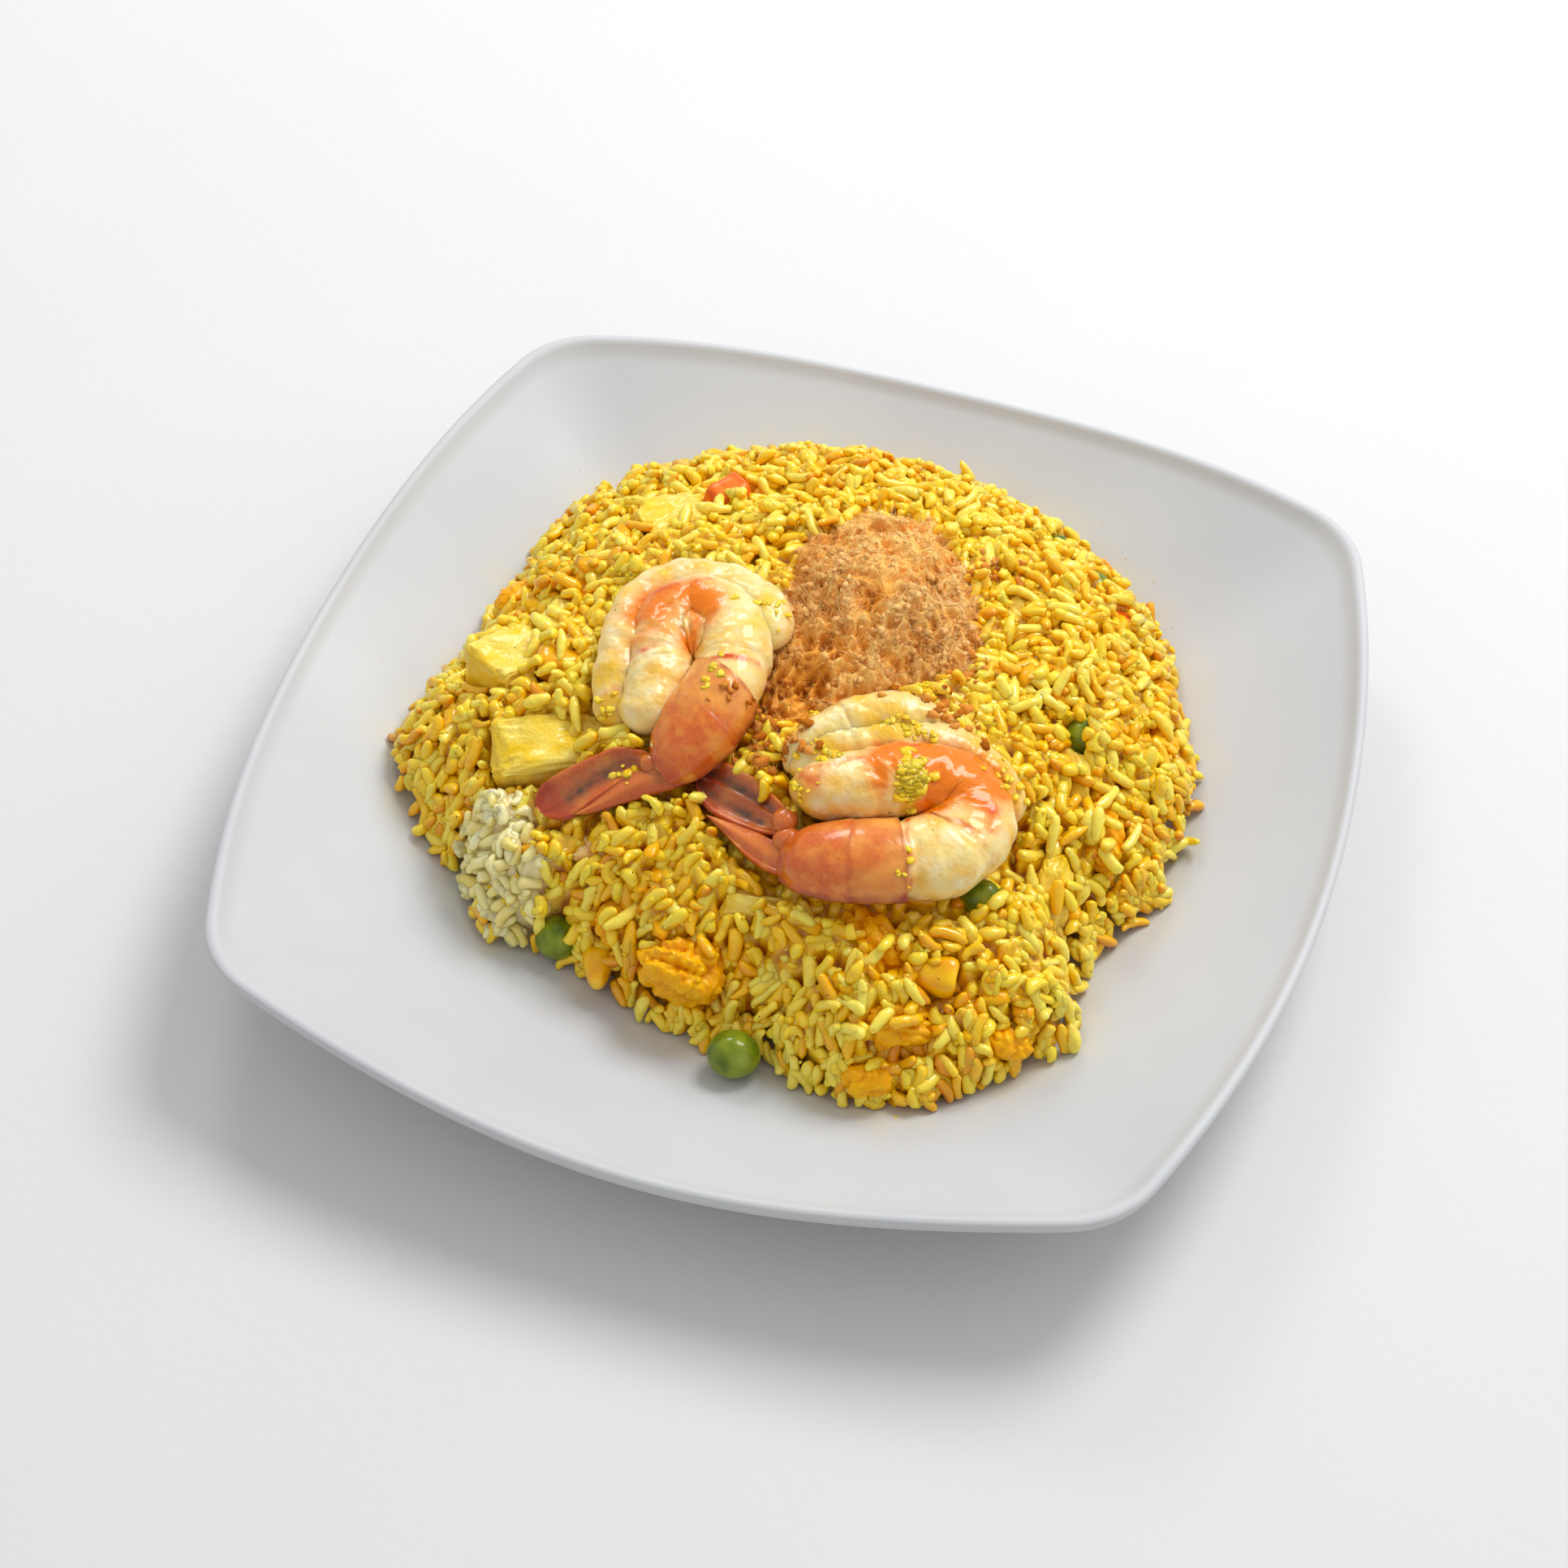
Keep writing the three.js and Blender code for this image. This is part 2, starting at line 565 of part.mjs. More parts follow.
const rooms = [];
for (const [name, geometry, color] of toppings) {
  dish.add(coloured(name, cutBack(geometry, rooms), color, 0.45));
  rooms.push(grown(geometry, PIECE_GAP));
}
dish.add(coloured('rice', riceGeometry(rooms), 0xe8c531, 0.5));

export default dish;
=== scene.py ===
import math

import bpy
import numpy as np
from mathutils import Matrix, Vector


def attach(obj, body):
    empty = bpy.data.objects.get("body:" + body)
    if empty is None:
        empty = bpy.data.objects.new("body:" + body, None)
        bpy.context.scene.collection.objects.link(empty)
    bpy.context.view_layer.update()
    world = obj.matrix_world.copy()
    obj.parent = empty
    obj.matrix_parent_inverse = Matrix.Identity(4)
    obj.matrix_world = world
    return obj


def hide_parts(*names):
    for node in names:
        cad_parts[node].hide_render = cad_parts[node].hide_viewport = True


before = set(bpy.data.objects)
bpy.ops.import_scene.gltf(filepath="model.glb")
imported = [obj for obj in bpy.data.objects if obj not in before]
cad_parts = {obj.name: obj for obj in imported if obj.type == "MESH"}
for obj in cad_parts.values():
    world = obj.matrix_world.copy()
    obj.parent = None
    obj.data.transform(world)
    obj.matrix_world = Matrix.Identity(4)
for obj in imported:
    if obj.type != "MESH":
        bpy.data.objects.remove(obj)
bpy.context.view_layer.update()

# Lengths are in millimetres until a piece's mesh is made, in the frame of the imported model
MM = 0.001

# Plate, the same values as in the part's source
PLATE_HALF = 115.0
SIDE_ARC_RADIUS = 262.5
CORNER_RADIUS = 22.0
RIM_HEIGHT = 24.0
CORNER_RISE = 5.2
FLOOR_HEIGHT = 5.0
FLAT_SHARE = 0.4
WALL = 3.2
FOOT_RECESS = 1.5
CORNER_CROWDING = 0.18

# Rice heap
HEAP_CENTRE = (-3.0, 8.0)
HEAP_RISE = 37.0
HEAP_SQUARENESS = 2.6
HEAP_ROUNDNESS = 0.62
SEAT_GAP = 0.5
HEAP_OUTLINE = [
    (78, 24), (78, 8), (77, -8), (68, -27), (71, -47), (55, -65), (36, -75), (14, -68), (-12, -66),
    (-36, -56), (-50, -56), (-67, -40), (-84, -25), (-85, -8), (-80, 14), (-79, 34), (-72, 58),
    (-54, 77), (-28, 88), (2, 91), (28, 85), (52, 71), (66, 52),
]
WHITE_RICE = [(-55, -45, 7.5), (-47, -52, 6)]

# Meat floss
FLOSS_CENTRE = (9.0, 24.0)
FLOSS_RISE = 11.0
FLOSS_OUTLINE = [
    (33, 21), (27, 41), (16, 58), (2, 64), (-11, 54), (-17, 36), (-13, 14), (-9, -6), (-4, -19), (5, -10),
    (21, 2),
]

# Floss fallen beside its heap: place in plan and scatter along X and Y
FLOSS_TRAILS = [(31, 2, 8, 5), (-6, -14, 6, 6), (30, 15, 5, 8), (0, -20, 5, 5), (25, 50, 6, 5)]

# Pineapple: place in plan; length, width and thickness; turn about X, Y and Z; taper; sink
PINEAPPLE = [
    ((-47, 45), (20, 15, 13), (0, 0, 40), 0.85, 3),
    ((-61, 9), (12, 9, 12), (0, 10, 100), 0.7, 2),
    ((-66, -5), (17, 15, 15), (0, 12, 60), 0.7, 1),
    ((-49, -24), (25, 16, 12), (12, -6, 20), 0.75, 2),
    ((21, 67), (14, 12, 9), (-10, 10, -20), 0.7, 3),
    ((36, 41), (13, 11, 8), (0, 14, -30), 0.7, 2),
    ((57, 8), (18, 10, 9), (10, 20, -60), 0.4, 3),
    ((-19, 47), (13, 10, 9), (0, 0, 10), 0.7, 2),
    ((60, -19), (17, 8, 9), (15, 30, -70), 0.6, 3),
    ((45, -43), (10, 9, 9), (0, 20, 30), 0.7, 3),
    ((5, -47), (15, 9, 8), (20, 0, 10), 0.7, 3),
]

# Carrot, peas, sweetcorn and egg: place in plan or in space; size; turn; sink
CARROT = [
    ((-37, 54), (10, 7, 12), (0, 0, 60), 1),
    ((-17, 76), (10, 7, 7), (0, 10, 20), 1),
    ((53, 58), (11, 11, 5), (-50, 20, 0), 1),
]
PEAS = [
    ((-36, -56, 11.8), (9.6, 9.6, 9.2), 0),
    ((9, -73, 13.4), (11, 10, 10), 0),
    ((34, 72), (8, 8, 8), 1),
    ((45, 64), (8, 8, 8), 1),
    ((56, 17), (8, 9, 8), 1),
    ((48, -31), (9, 8, 8), 2.6),
]
CORN = [
    ((-54, -4), (11, 9, 9), (0, 0, 200), -1),
    ((44, -52), (12, 10, 9), (20, 0, 10), -1),
    ((-25, -61, 12.2), (10, 8, 7.5), (0, 0, 110), 0),
]
EGG = [
    ((-72, 25), (19, 6, 6), (0, 0, 55), 1),
    ((31, -49), (15, 9, 9), (20, 20, -40), 2),
    ((40, -62), (14, 9, 9), (30, 10, 30), 2),
    ((61, -55), (11, 6, 5), (0, 0, 10), 0),
    ((64, 43), (10, 7, 6), (20, 0, 30), 1),
    ((71, 29), (8, 7, 6), (0, 20, -20), 1),
    ((46, 22), (10, 8, 6), (0, 10, 20), 1),
    ((66, -2), (16, 8, 7), (0, 20, -70), 2),
    ((-60, 21), (12, 7, 6), (0, 0, -30), 1),
    ((37, -72), (9, 7, 6), (0, 0, 30), 1),
    ((-6, -60), (16, 13, 15), (20, 0, 0), 1),
    ((-22, -54), (11, 9, 7), (20, 0, 20), 1),
    ((-30, -42), (14, 8, 6), (0, 0, 15), 1),
]

# How deep the loose rice may cover each pineapple chunk; a minus keeps it clear of the chunk
PINEAPPLE_COVERS = {1: -1.5, 3: -0.6, 4: -0.4, 5: 2.2, 6: 1.0, 7: 1.6, 8: 1.4, 9: 1.8, 10: 2.2, 11: 1.8}

# Most grains of each layer that may be laid, and how many of the other loose bits are
STUCK_GRAINS = 3000
LOOSE_GRAINS = 3600
TOPMOST_GRAINS = 420
SIDE_GRAINS = 1000
FOOT_GRAINS = 620
RICE_CRUMBS = 1100
EGG_CRUMBS = 110
FLOSS_CLUMPS = 700
FALLEN_CLUMPS = 150
FIBRES_PER_PIECE = 7000

# Lengths that grains are drawn from, whole ones to broken ones, and the most grains in one mesh
GRAIN_LENGTHS = np.array([8.6, 8.0, 7.6, 7.2, 6.8, 6.2, 5.6, 5.0, 4.2, 3.4])
GRAINS_PER_PIECE = 2000

# Points around a grain, a crumb and a fibre, and rings along a crumb
GRAIN_AROUND = 8
CRUMB_AROUND = 6
CRUMB_RINGS = 3
FIBRE_AROUND = 3

# Colours that several materials share, and the band of noise in which their patches blend evenly
PEPPER = "#3B2A12"
OIL_SHINE = "#FFE9A0"
TURMERIC_SHINE = "#FFE6A0"
EVEN_PATCHES = (0.35, 0.65)

scene = bpy.context.scene


# The photograph's viewpoint

def place_camera():
    """Camera at the photograph's own place, worked out from the plate's outline, on a 36 mm wide sensor."""
    right = Vector((0.9454, 0.3259, 0.0)).normalized()
    ahead = Vector((-0.2074, 0.6016, -0.7714)).normalized()
    up = right.cross(ahead).normalized()
    place = Vector((156.6, -469.5, 612.2)) * MM
    lens = bpy.data.cameras.new("photo_view")
    lens.sensor_fit = "HORIZONTAL"
    lens.sensor_width = 36.0
    lens.lens = 82.67
    lens.clip_start = 0.01
    holder = bpy.data.objects.new("photo_view", lens)
    scene.collection.objects.link(holder)
    turn = Matrix((right, up, -ahead)).transposed().to_4x4()
    holder.matrix_world = Matrix.Translation(place) @ turn
    scene.camera = holder


place_camera()


# Numbers, noise and curves

def noise(points, size, seed=0):
    """Smooth noise from -1 to 1: random numbers on a cubic grid of the given size, blended by smoothstep."""
    q = np.asarray(points, float) / size
    cell = np.floor(q).astype(np.int64)
    part = q - cell
    ease = part * part * (3 - 2 * part)
    total = np.zeros(q.shape[:-1])
    for dx, dy, dz in np.ndindex(2, 2, 2):
        mixed = (cell[..., 0] + dx) * 374761393 + (cell[..., 1] + dy) * 668265263
        mixed = (mixed + (cell[..., 2] + dz) * 1442695041 + seed * 974711) & 0xFFFFFFFF
        mixed = ((mixed ^ (mixed >> 13)) * 1274126177) & 0xFFFFFFFF
        value = ((mixed ^ (mixed >> 16)) & 0xFFFF) / 32767.5 - 1
        weight = np.where(dx, ease[..., 0], 1 - ease[..., 0])
        weight = weight * np.where(dy, ease[..., 1], 1 - ease[..., 1])
        total += value * weight * np.where(dz, ease[..., 2], 1 - ease[..., 2])
    return total


def rough(points, size, seed=0, octaves=3):
    """Sum of noises, each of half the size and half the height of the one before."""
    return sum(noise(points, size / 2 ** k, seed + 17 * k) / 2 ** k for k in range(octaves))


def flat_noise(x, y, size, seed=0):
    """Noise over the plan."""
    return noise(np.stack([x, y, np.zeros_like(x) + 0.37 * size], -1), size, seed)


def bell(value, middle, spread):
    """Bell curve, one at its middle."""
    return np.exp(-((value - middle) / spread) ** 2)


def step(value, low, high):
    """Smooth rise from nothing at low to one at high."""
    part = np.clip((value - low) / (high - low), 0, 1)
    return part * part * (3 - 2 * part)


def spline(rows, count, closed=False):
    """Catmull-Rom curve through the rows, sampled at points evenly spaced by length."""
    rows = np.asarray(rows, float)
    if closed:
        padded = np.concatenate([rows[-1:], rows, rows[:2]])
    else:
        padded = np.concatenate([2 * rows[:1] - rows[1:2], rows, 2 * rows[-1:] - rows[-2:-1]])
    fine = 40
    spans = len(padded) - 3
    u = np.linspace(0, 1, fine, endpoint=False)[None, :, None]
    a, b, c, d = (padded[k:k + spans, None, :] for k in range(4))
    square = 2 * a - 5 * b + 4 * c - d
    cube = 3 * b - a - 3 * c + d
    curve = 0.5 * (2 * b + (c - a) * u + square * u ** 2 + cube * u ** 3)
    curve = curve.reshape(-1, rows.shape[1])
    curve = np.concatenate([curve, rows[:1] if closed else rows[-1:]])
    length = np.concatenate([[0], np.cumsum(np.linalg.norm(np.diff(curve[:, :3], axis=0), axis=1))])
    wanted = np.linspace(0, length[-1], count)
    return np.stack([np.interp(wanted, length, curve[:, k]) for k in range(rows.shape[1])], -1)


# Plate and heap surfaces, the same formulas as in the part's source

side_centre = PLATE_HALF - SIDE_ARC_RADIUS
arc_gap = SIDE_ARC_RADIUS - CORNER_RADIUS
corner_centre = (side_centre + math.sqrt(2 * arc_gap ** 2 - side_centre ** 2)) / 2
slope = math.atan2(corner_centre, corner_centre - side_centre)
tangent_angle = math.atan2(SIDE_ARC_RADIUS * math.sin(slope), SIDE_ARC_RADIUS * math.cos(slope) + side_centre)


def rim_radius(angle):
    """Rounded square: four wide side arcs joined by tangent corner arcs, as a radius for each angle."""
    quarter = math.pi / 2
    folded = np.abs((angle + quarter / 2) % quarter - quarter / 2)
    c = np.cos(folded)
    s = np.sin(folded)
    side = side_centre * c + np.sqrt(SIDE_ARC_RADIUS ** 2 - (side_centre * s) ** 2)
    inner = np.maximum(CORNER_RADIUS ** 2 - (corner_centre * (c - s)) ** 2, 0)
    corner = corner_centre * (c + s) + np.sqrt(inner)
    return np.where(folded < tangent_angle, side, corner)


def level_radius(angle, share):
    """Level lines of the plate turn from a circle at the middle into the rim's outline."""
    return share * (PLATE_HALF + (rim_radius(angle) - PLATE_HALF) * share)


def climb(share):
    """Nothing on the flat floor, one at the rim, rising as a square."""
    return np.maximum((share - FLAT_SHARE) / (1 - FLAT_SHARE), 0) ** 2


def corner_lift(angle, share):
    """Corners rise above the middles of the sides."""
    return CORNER_RISE * np.sin(2 * angle) ** 2 * climb(share)


def side_profile(share):
    """Height of the plate's upper surface along the middle of a side."""
    return FLOOR_HEIGHT + (RIM_HEIGHT - FLOOR_HEIGHT) * climb(share)


def plate_top(x, y):
    """Height of the plate's upper surface."""
    angle = np.arctan2(y, x)
    bulge = rim_radius(angle) - PLATE_HALF
    radius = np.hypot(x, y)
    share = 2 * radius / (PLATE_HALF + np.sqrt(PLATE_HALF ** 2 + 4 * bulge * radius))
    return side_profile(share) + corner_lift(angle, share)


def outline_radius(outline, centre):
    """Radius of a closed smooth outline in any direction from its centre."""
    curve = spline([(x, y, 0) for x, y in outline], 600, closed=True)[:-1]
    angle = np.arctan2(curve[:, 1] - centre[1], curve[:, 0] - centre[0])
    radius = np.hypot(curve[:, 0] - centre[0], curve[:, 1] - centre[1])
    order = np.argsort(angle)
    return lambda wanted: np.interp(wanted, angle[order], radius[order], period=2 * math.pi)


heap_radius = outline_radius(HEAP_OUTLINE, HEAP_CENTRE)
floss_radius = outline_radius(FLOSS_OUTLINE, FLOSS_CENTRE)


def share_of(x, y, centre, radius):
    """Distance from a centre as a share of the outline's radius that way."""
    dx = x - centre[0]
    dy = y - centre[1]
    return np.hypot(dx, dy) / radius(np.arctan2(dy, dx))


def heap_top(x, y):
    """Smooth top of the rice: the plate's surface plus a blunt dome."""
    share = np.minimum(share_of(x, y, HEAP_CENTRE, heap_radius), 1)
    return plate_top(x, y) + HEAP_RISE * (1 - share ** HEAP_SQUARENESS) ** HEAP_ROUNDNESS


def floss_top(x, y):
    """Top of the floss: a parabolic dome over the rice."""
    share = np.minimum(share_of(x, y, FLOSS_CENTRE, floss_radius), 1)
    return heap_top(x, y) + FLOSS_RISE * (1 - share ** 2)


# Meshes

def skin(rings):
    """Closed surface over a stack of rings: quads between neighbours, and a fan to the middle of each end.

    rings has the shape (pieces, rings, points, 3), and all pieces share one layout of faces."""
    pieces, count, around, _ = rings.shape
    ends = rings[:, [0, -1]].mean(axis=2)
    points = np.concatenate([rings.reshape(pieces, -1, 3), ends], axis=1)
    i = np.arange(count - 1)[:, None] * around
    j = np.arange(around)[None, :]
    k = (j + 1) % around
    quads = np.stack([i + j, i + k, i + around + k, i + around + j], -1).reshape(-1, 4)
    first = count * around
    top = (count - 1) * around
    a = np.arange(around)
    b = (a + 1) % around
    fans = np.concatenate([
        np.stack([np.full(around, first), b, a], -1),
        np.stack([np.full(around, first + 1), top + a, top + b], -1),
    ])
    size = points.shape[1]
    shift = (np.arange(pieces) * size)[:, None, None]
    quads = (quads[None] + shift).reshape(-1, 4)
    fans = (fans[None] + shift).reshape(-1, 3)
    return points.reshape(-1, 3), quads, fans


def ring_values(values, around):
    """Values given for each ring of each piece, spread over the points in skin's order."""
    pieces = values.shape[0]
    spread = np.repeat(values[:, :, None], around, axis=2) if values.ndim == 2 else values
    ends = spread[:, [0, -1]].mean(axis=2)
    return np.concatenate([spread.reshape(pieces, -1), ends], axis=1).ravel()


def make_piece(name, surfaces, material, slot, replaces, **fields):
    """A mesh object from closed surfaces in millimetres, facing outwards, with point values for its look."""
    points = np.concatenate([s[0] for s in surfaces])
    starts = np.cumsum([0] + [len(s[0]) for s in surfaces[:-1]])
    quads = np.concatenate([s[1] + at for s, at in zip(surfaces, starts)])
    fans = np.concatenate([s[2] + at for s, at in zip(surfaces, starts)])
    volume = 0
    for faces, picked in ((fans, (0, 1, 2)), (quads, (0, 1, 2)), (quads, (0, 2, 3))):
        a, b, c = (points[faces[:, k]] for k in picked)
        volume += np.einsum("ij,ij->i", a, np.cross(b, c)).sum()
    if volume < 0:
        quads = quads[:, ::-1]
        fans = fans[:, ::-1]
    mesh = bpy.data.meshes.new(name)
    mesh.vertices.add(len(points))
    mesh.vertices.foreach_set("co", (points * MM).astype(np.float32).ravel())
    mesh.loops.add(quads.size + fans.size)
    corners = np.concatenate([quads.ravel(), fans.ravel()])
    mesh.loops.foreach_set("vertex_index", corners.astype(np.int32))
    mesh.polygons.add(len(quads) + len(fans))
    starts = np.concatenate([np.arange(len(quads)) * 4, quads.size + np.arange(len(fans)) * 3])
    mesh.polygons.foreach_set("loop_start", starts.astype(np.int32))
    mesh.update(calc_edges=True)
    mesh.validate()
    mesh.shade_smooth()
    for field, values in fields.items():
        mesh.attributes.new(field, "FLOAT", "POINT").data.foreach_set("value", np.float32(values))
    mesh.materials.append(material)
    piece = bpy.data.objects.new(name, mesh)
    scene.collection.objects.link(piece)
    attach(piece, "root")
    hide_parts(*replaces)


def turned(points, turn):
    """Points turned about X, then Y, then Z, in degrees."""
    rx, ry, rz = np.radians(turn)
    about_x = np.array([[1, 0, 0], [0, np.cos(rx), -np.sin(rx)], [0, np.sin(rx), np.cos(rx)]])
    about_y = np.array([[np.cos(ry), 0, np.sin(ry)], [0, 1, 0], [-np.sin(ry), 0, np.cos(ry)]])
    about_z = np.array([[np.cos(rz), -np.sin(rz), 0], [np.sin(rz), np.cos(rz), 0], [0, 0, 1]])
    return points @ (about_z @ about_y @ about_x).T


def middle_of(at, sink):
    """Middle of a topping: its own height where given, otherwise the heap's top less its sink."""
    height = at[2] if len(at) > 2 else float(heap_top(np.float64(at[0]), np.float64(at[1]))) - sink
    return np.array([at[0], at[1], height], float)


def ball(around, rings, square=1.0):
    """Unit ball on a grid of turn and height; a power below one squares it off towards a block."""
    lift = np.linspace(-1, 1, rings + 2)[1:-1] * math.pi / 2
    lift = lift[:, None]
    turn = (np.arange(around) * 2 * math.pi / around)[None, :]

    def eased(value):
        return np.sign(value) * np.abs(value) ** square

    x = eased(np.cos(lift)) * eased(np.cos(turn))
    y = eased(np.cos(lift)) * eased(np.sin(turn))
    z = eased(np.sin(lift)) + 0 * turn
    return np.stack([x, y, z], -1)


# Materials

def linear(code):
    """Linear colour of an sRGB hex code."""
    parts = [int(code[i:i + 2], 16) / 255 for i in (1, 3, 5)]
    return [p / 12.92 if p <= 0.04045 else ((p + 0.055) / 1.055) ** 2.4 for p in parts] + [1.0]


def add(tree, kind, inputs=None, **settings):
    """One node of a kind, with its settings; an input is a plain value or another node's output."""
    made = tree.nodes.new("ShaderNode" + kind)
    for field, value in settings.items():
        setattr(made, field, value)
    for socket, value in (inputs or {}).items():
        if isinstance(value, bpy.types.NodeSocket):
            tree.links.new(value, made.inputs[socket])
        else:
            made.inputs[socket].default_value = value
    return made


def new_material(name):
    """An empty node material with its output, and the object's own coordinates."""
    material = bpy.data.materials.new(name)
    material.use_nodes = True
    tree = material.node_tree
    tree.nodes.clear()
    place = add(tree, "TexCoord").outputs["Object"]
    return material, tree, place


def blended(tree, amount, low, high):
    """Mix of two colours, each a hex code or another node's output."""
    inputs = {0: amount}
    for socket, colour in ((6, low), (7, high)):
        inputs[socket] = linear(colour) if isinstance(colour, str) else colour
    return add(tree, "Mix", inputs, data_type="RGBA").outputs[2]


def ranged(tree, value, low, high, bottom=0.0, top=1.0):
    """A value stretched from one range to another, and held inside it."""
    inputs = {"Value": value, "From Min": low, "From Max": high, "To Min": bottom, "To Max": top}
    return add(tree, "MapRange", inputs).outputs[0]


def cloud(tree, place, size_mm, detail=2.0, roughness=0.5):
    """Noise whose patches have the given size."""
    inputs = {"Vector": place, "Scale": 1 / (size_mm * MM), "Detail": detail, "Roughness": roughness}
    return add(tree, "TexNoise", inputs).outputs["Fac"]


def field(tree, name):
    """One of the piece's own point values."""
    return add(tree, "Attribute", attribute_name=name).outputs["Fac"]


def mottled(tree, place, size_mm, detail, band, base, colour, most=1.0):
    """A colour laid over a base in patches of noise: none of it below the band, and the most above it."""
    amount = ranged(tree, cloud(tree, place, size_mm, detail), *band, 0.0, most)
    return blended(tree, amount, base, colour)


def laid_over(tree, body, **colours):
    """Colours laid over a body, each as far as the piece's own point values of that name say."""
    for name, colour in colours.items():
        body = blended(tree, field(tree, name), body, colour)
    return body


def two_depths(tree, tint, start, pale, mid, deep):
    """Deep colour at no tint, the middle one from 0.45 to the start, and the pale one at full tint."""
    body = blended(tree, ranged(tree, tint, start, 1.0), mid, pale)
    return blended(tree, ranged(tree, tint, 0.0, 0.45, 1, 0), body, deep)


def specks(tree, place, spacing_mm, size_mm, colour, base):
    """Scattered specks of ground pepper over a base colour: the nearest of random points, within a radius."""
    inputs = {"Vector": place, "Scale": 1 / (spacing_mm * MM), "Randomness": 1.0}
    near = add(tree, "TexVoronoi", inputs).outputs["Distance"]
    edge = size_mm / spacing_mm
    spot = ranged(tree, near, edge * 0.6, edge, 1.0, 0.0)
    return blended(tree, spot, base, colour)


def shade(tree, colour, bumps, **sockets):
    """Principled shader with a colour, a bump of the given height in millimetres, and plain values."""
    inputs = dict(sockets)
    inputs["Base Color"] = colour
    if bumps:
        height, depth_mm = bumps
        inputs["Normal"] = add(tree, "Bump", {"Height": height, "Distance": depth_mm * MM}).outputs[0]
    shader = add(tree, "BsdfPrincipled", {})
    for socket, value in inputs.items():
        if isinstance(value, bpy.types.NodeSocket):
            tree.links.new(value, shader.inputs[socket])
        else:
            shader.inputs[socket].default_value = value
    add(tree, "OutputMaterial", {"Surface": shader.outputs[0]})


def moist(tree, colour, bumps, roughness, ior, gloss, scatter, film):
    """Principled shader of wet food.

    Gloss is a level and a tint, scatter a share, the reach of red, green and blue and a depth in millimetres,
    and film the share and the roughness of the oil on top."""
    level, tint = gloss
    share, reach, depth_mm = scatter
    shade(tree, colour, bumps, Roughness=roughness, IOR=ior, **{
        "Specular IOR Level": level, "Specular Tint": linear(tint),
        "Subsurface Weight": share, "Subsurface Radius": reach, "Subsurface Scale": depth_mm * MM,
        "Coat Weight": film[0], "Coat Roughness": film[1],
    })


def melamine():
    """Moulded melamine, satin white: a hard even body with a soft sheen, and turmeric oil near the heap."""
    material, tree, place = new_material("moulded_melamine")
    body = mottled(tree, place, 40, 2, EVEN_PATCHES, "#C6C8CB", "#CACCCE")
    oil = add(tree, "Math", {0: field(tree, "oil"), 1: cloud(tree, place, 9, 4)}, operation="MULTIPLY")
    stained = blended(tree, ranged(tree, oil.outputs[0], 0.3, 0.7, 0, 0.3), body, "#E6D88C")
    dots = specks(tree, place, 5.5, 0.28, "#C9A23A", stained)
    colour = laid_over(tree, body, oil=dots)
    rough_share = ranged(tree, cloud(tree, place, 25), 0.3, 0.7, 0.42, 0.5)
    bumps = (cloud(tree, place, 14), 0.03)
    shade(tree, colour, bumps, Roughness=rough_share, IOR=1.45, **{"Specular IOR Level": 0.35})
    return material


def cooked_rice(name, pale, mid, deep, wet):
    """Cooked rice fried in turmeric oil: plump, a little see-through, each grain its own depth of yellow. On
    the grains the tint values also carry painted light on their tops and painted shade on their undersides
    and on the lower layers.
    """
    material, tree, place = new_material(name)
    body = two_depths(tree, field(tree, "tint"), 0.45, pale, mid, deep)
    body = mottled(tree, place, 2.4, 3, (0.52, 0.8), body, deep, 0.45)
    colour = specks(tree, place, 4.6, 0.24, PEPPER, body)
    moist(tree, colour, (cloud(tree, place, 1.5, 3), 0.35), 0.4, 1.42, (0.1, TURMERIC_SHINE),
          (0.5, (1.0, 0.9, 0.4), 1.0), (wet, 0.1))
    return material


def sticky_rice():
    """Grains stuck together under the loose ones: golden on top, with painted shade in amber in the hollows,
    wet with oil.
    """
    material, tree, place = new_material("sticky_rice")
    body = mottled(tree, place, 4, 3, EVEN_PATCHES, "#FBC80C", "#FFD824")
    body = mottled(tree, place, 2.2, 3, (0.55, 0.8), body, "#F0AC04", 0.5)
    # Painted shade: dark amber where the tint values are low, in the skin's hollows
    body = blended(tree, ranged(tree, field(tree, "tint"), 0.0, 1.0), "#B46002", body)
    body = laid_over(tree, body, white="#F1E3AE")
    colour = specks(tree, place, 4.6, 0.24, PEPPER, body)
    moist(tree, colour, (cloud(tree, place, 0.8, 3), 0.3), 0.4, 1.42, (0.3, TURMERIC_SHINE),
          (0.45, (1.0, 0.9, 0.4), 1.2), (0.8, 0.1))
    return material


def meat_floss(name, light, mid, deep):
    """Dried shredded pork, fried crisp: dull felted fibres, with painted light on the tops and painted shade
    in the hollows, from pale to deep orange.
    """
    material, tree, place = new_material(name)
    body = two_depths(tree, field(tree, "tint"), 0.4, light, mid, deep)
    colour = mottled(tree, place, 1.5, 3, (0.55, 0.8), body, deep, 0.25)
    shade(tree, colour, (cloud(tree, place, 0.45, 4), 0.35), Roughness=0.85, IOR=1.4, **{
        "Specular IOR Level": 0.2, "Specular Tint": linear("#FFD9A0"),
        "Subsurface Weight": 0.3, "Subsurface Radius": (1.0, 0.6, 0.3), "Subsurface Scale": 0.001,
    })
    return material


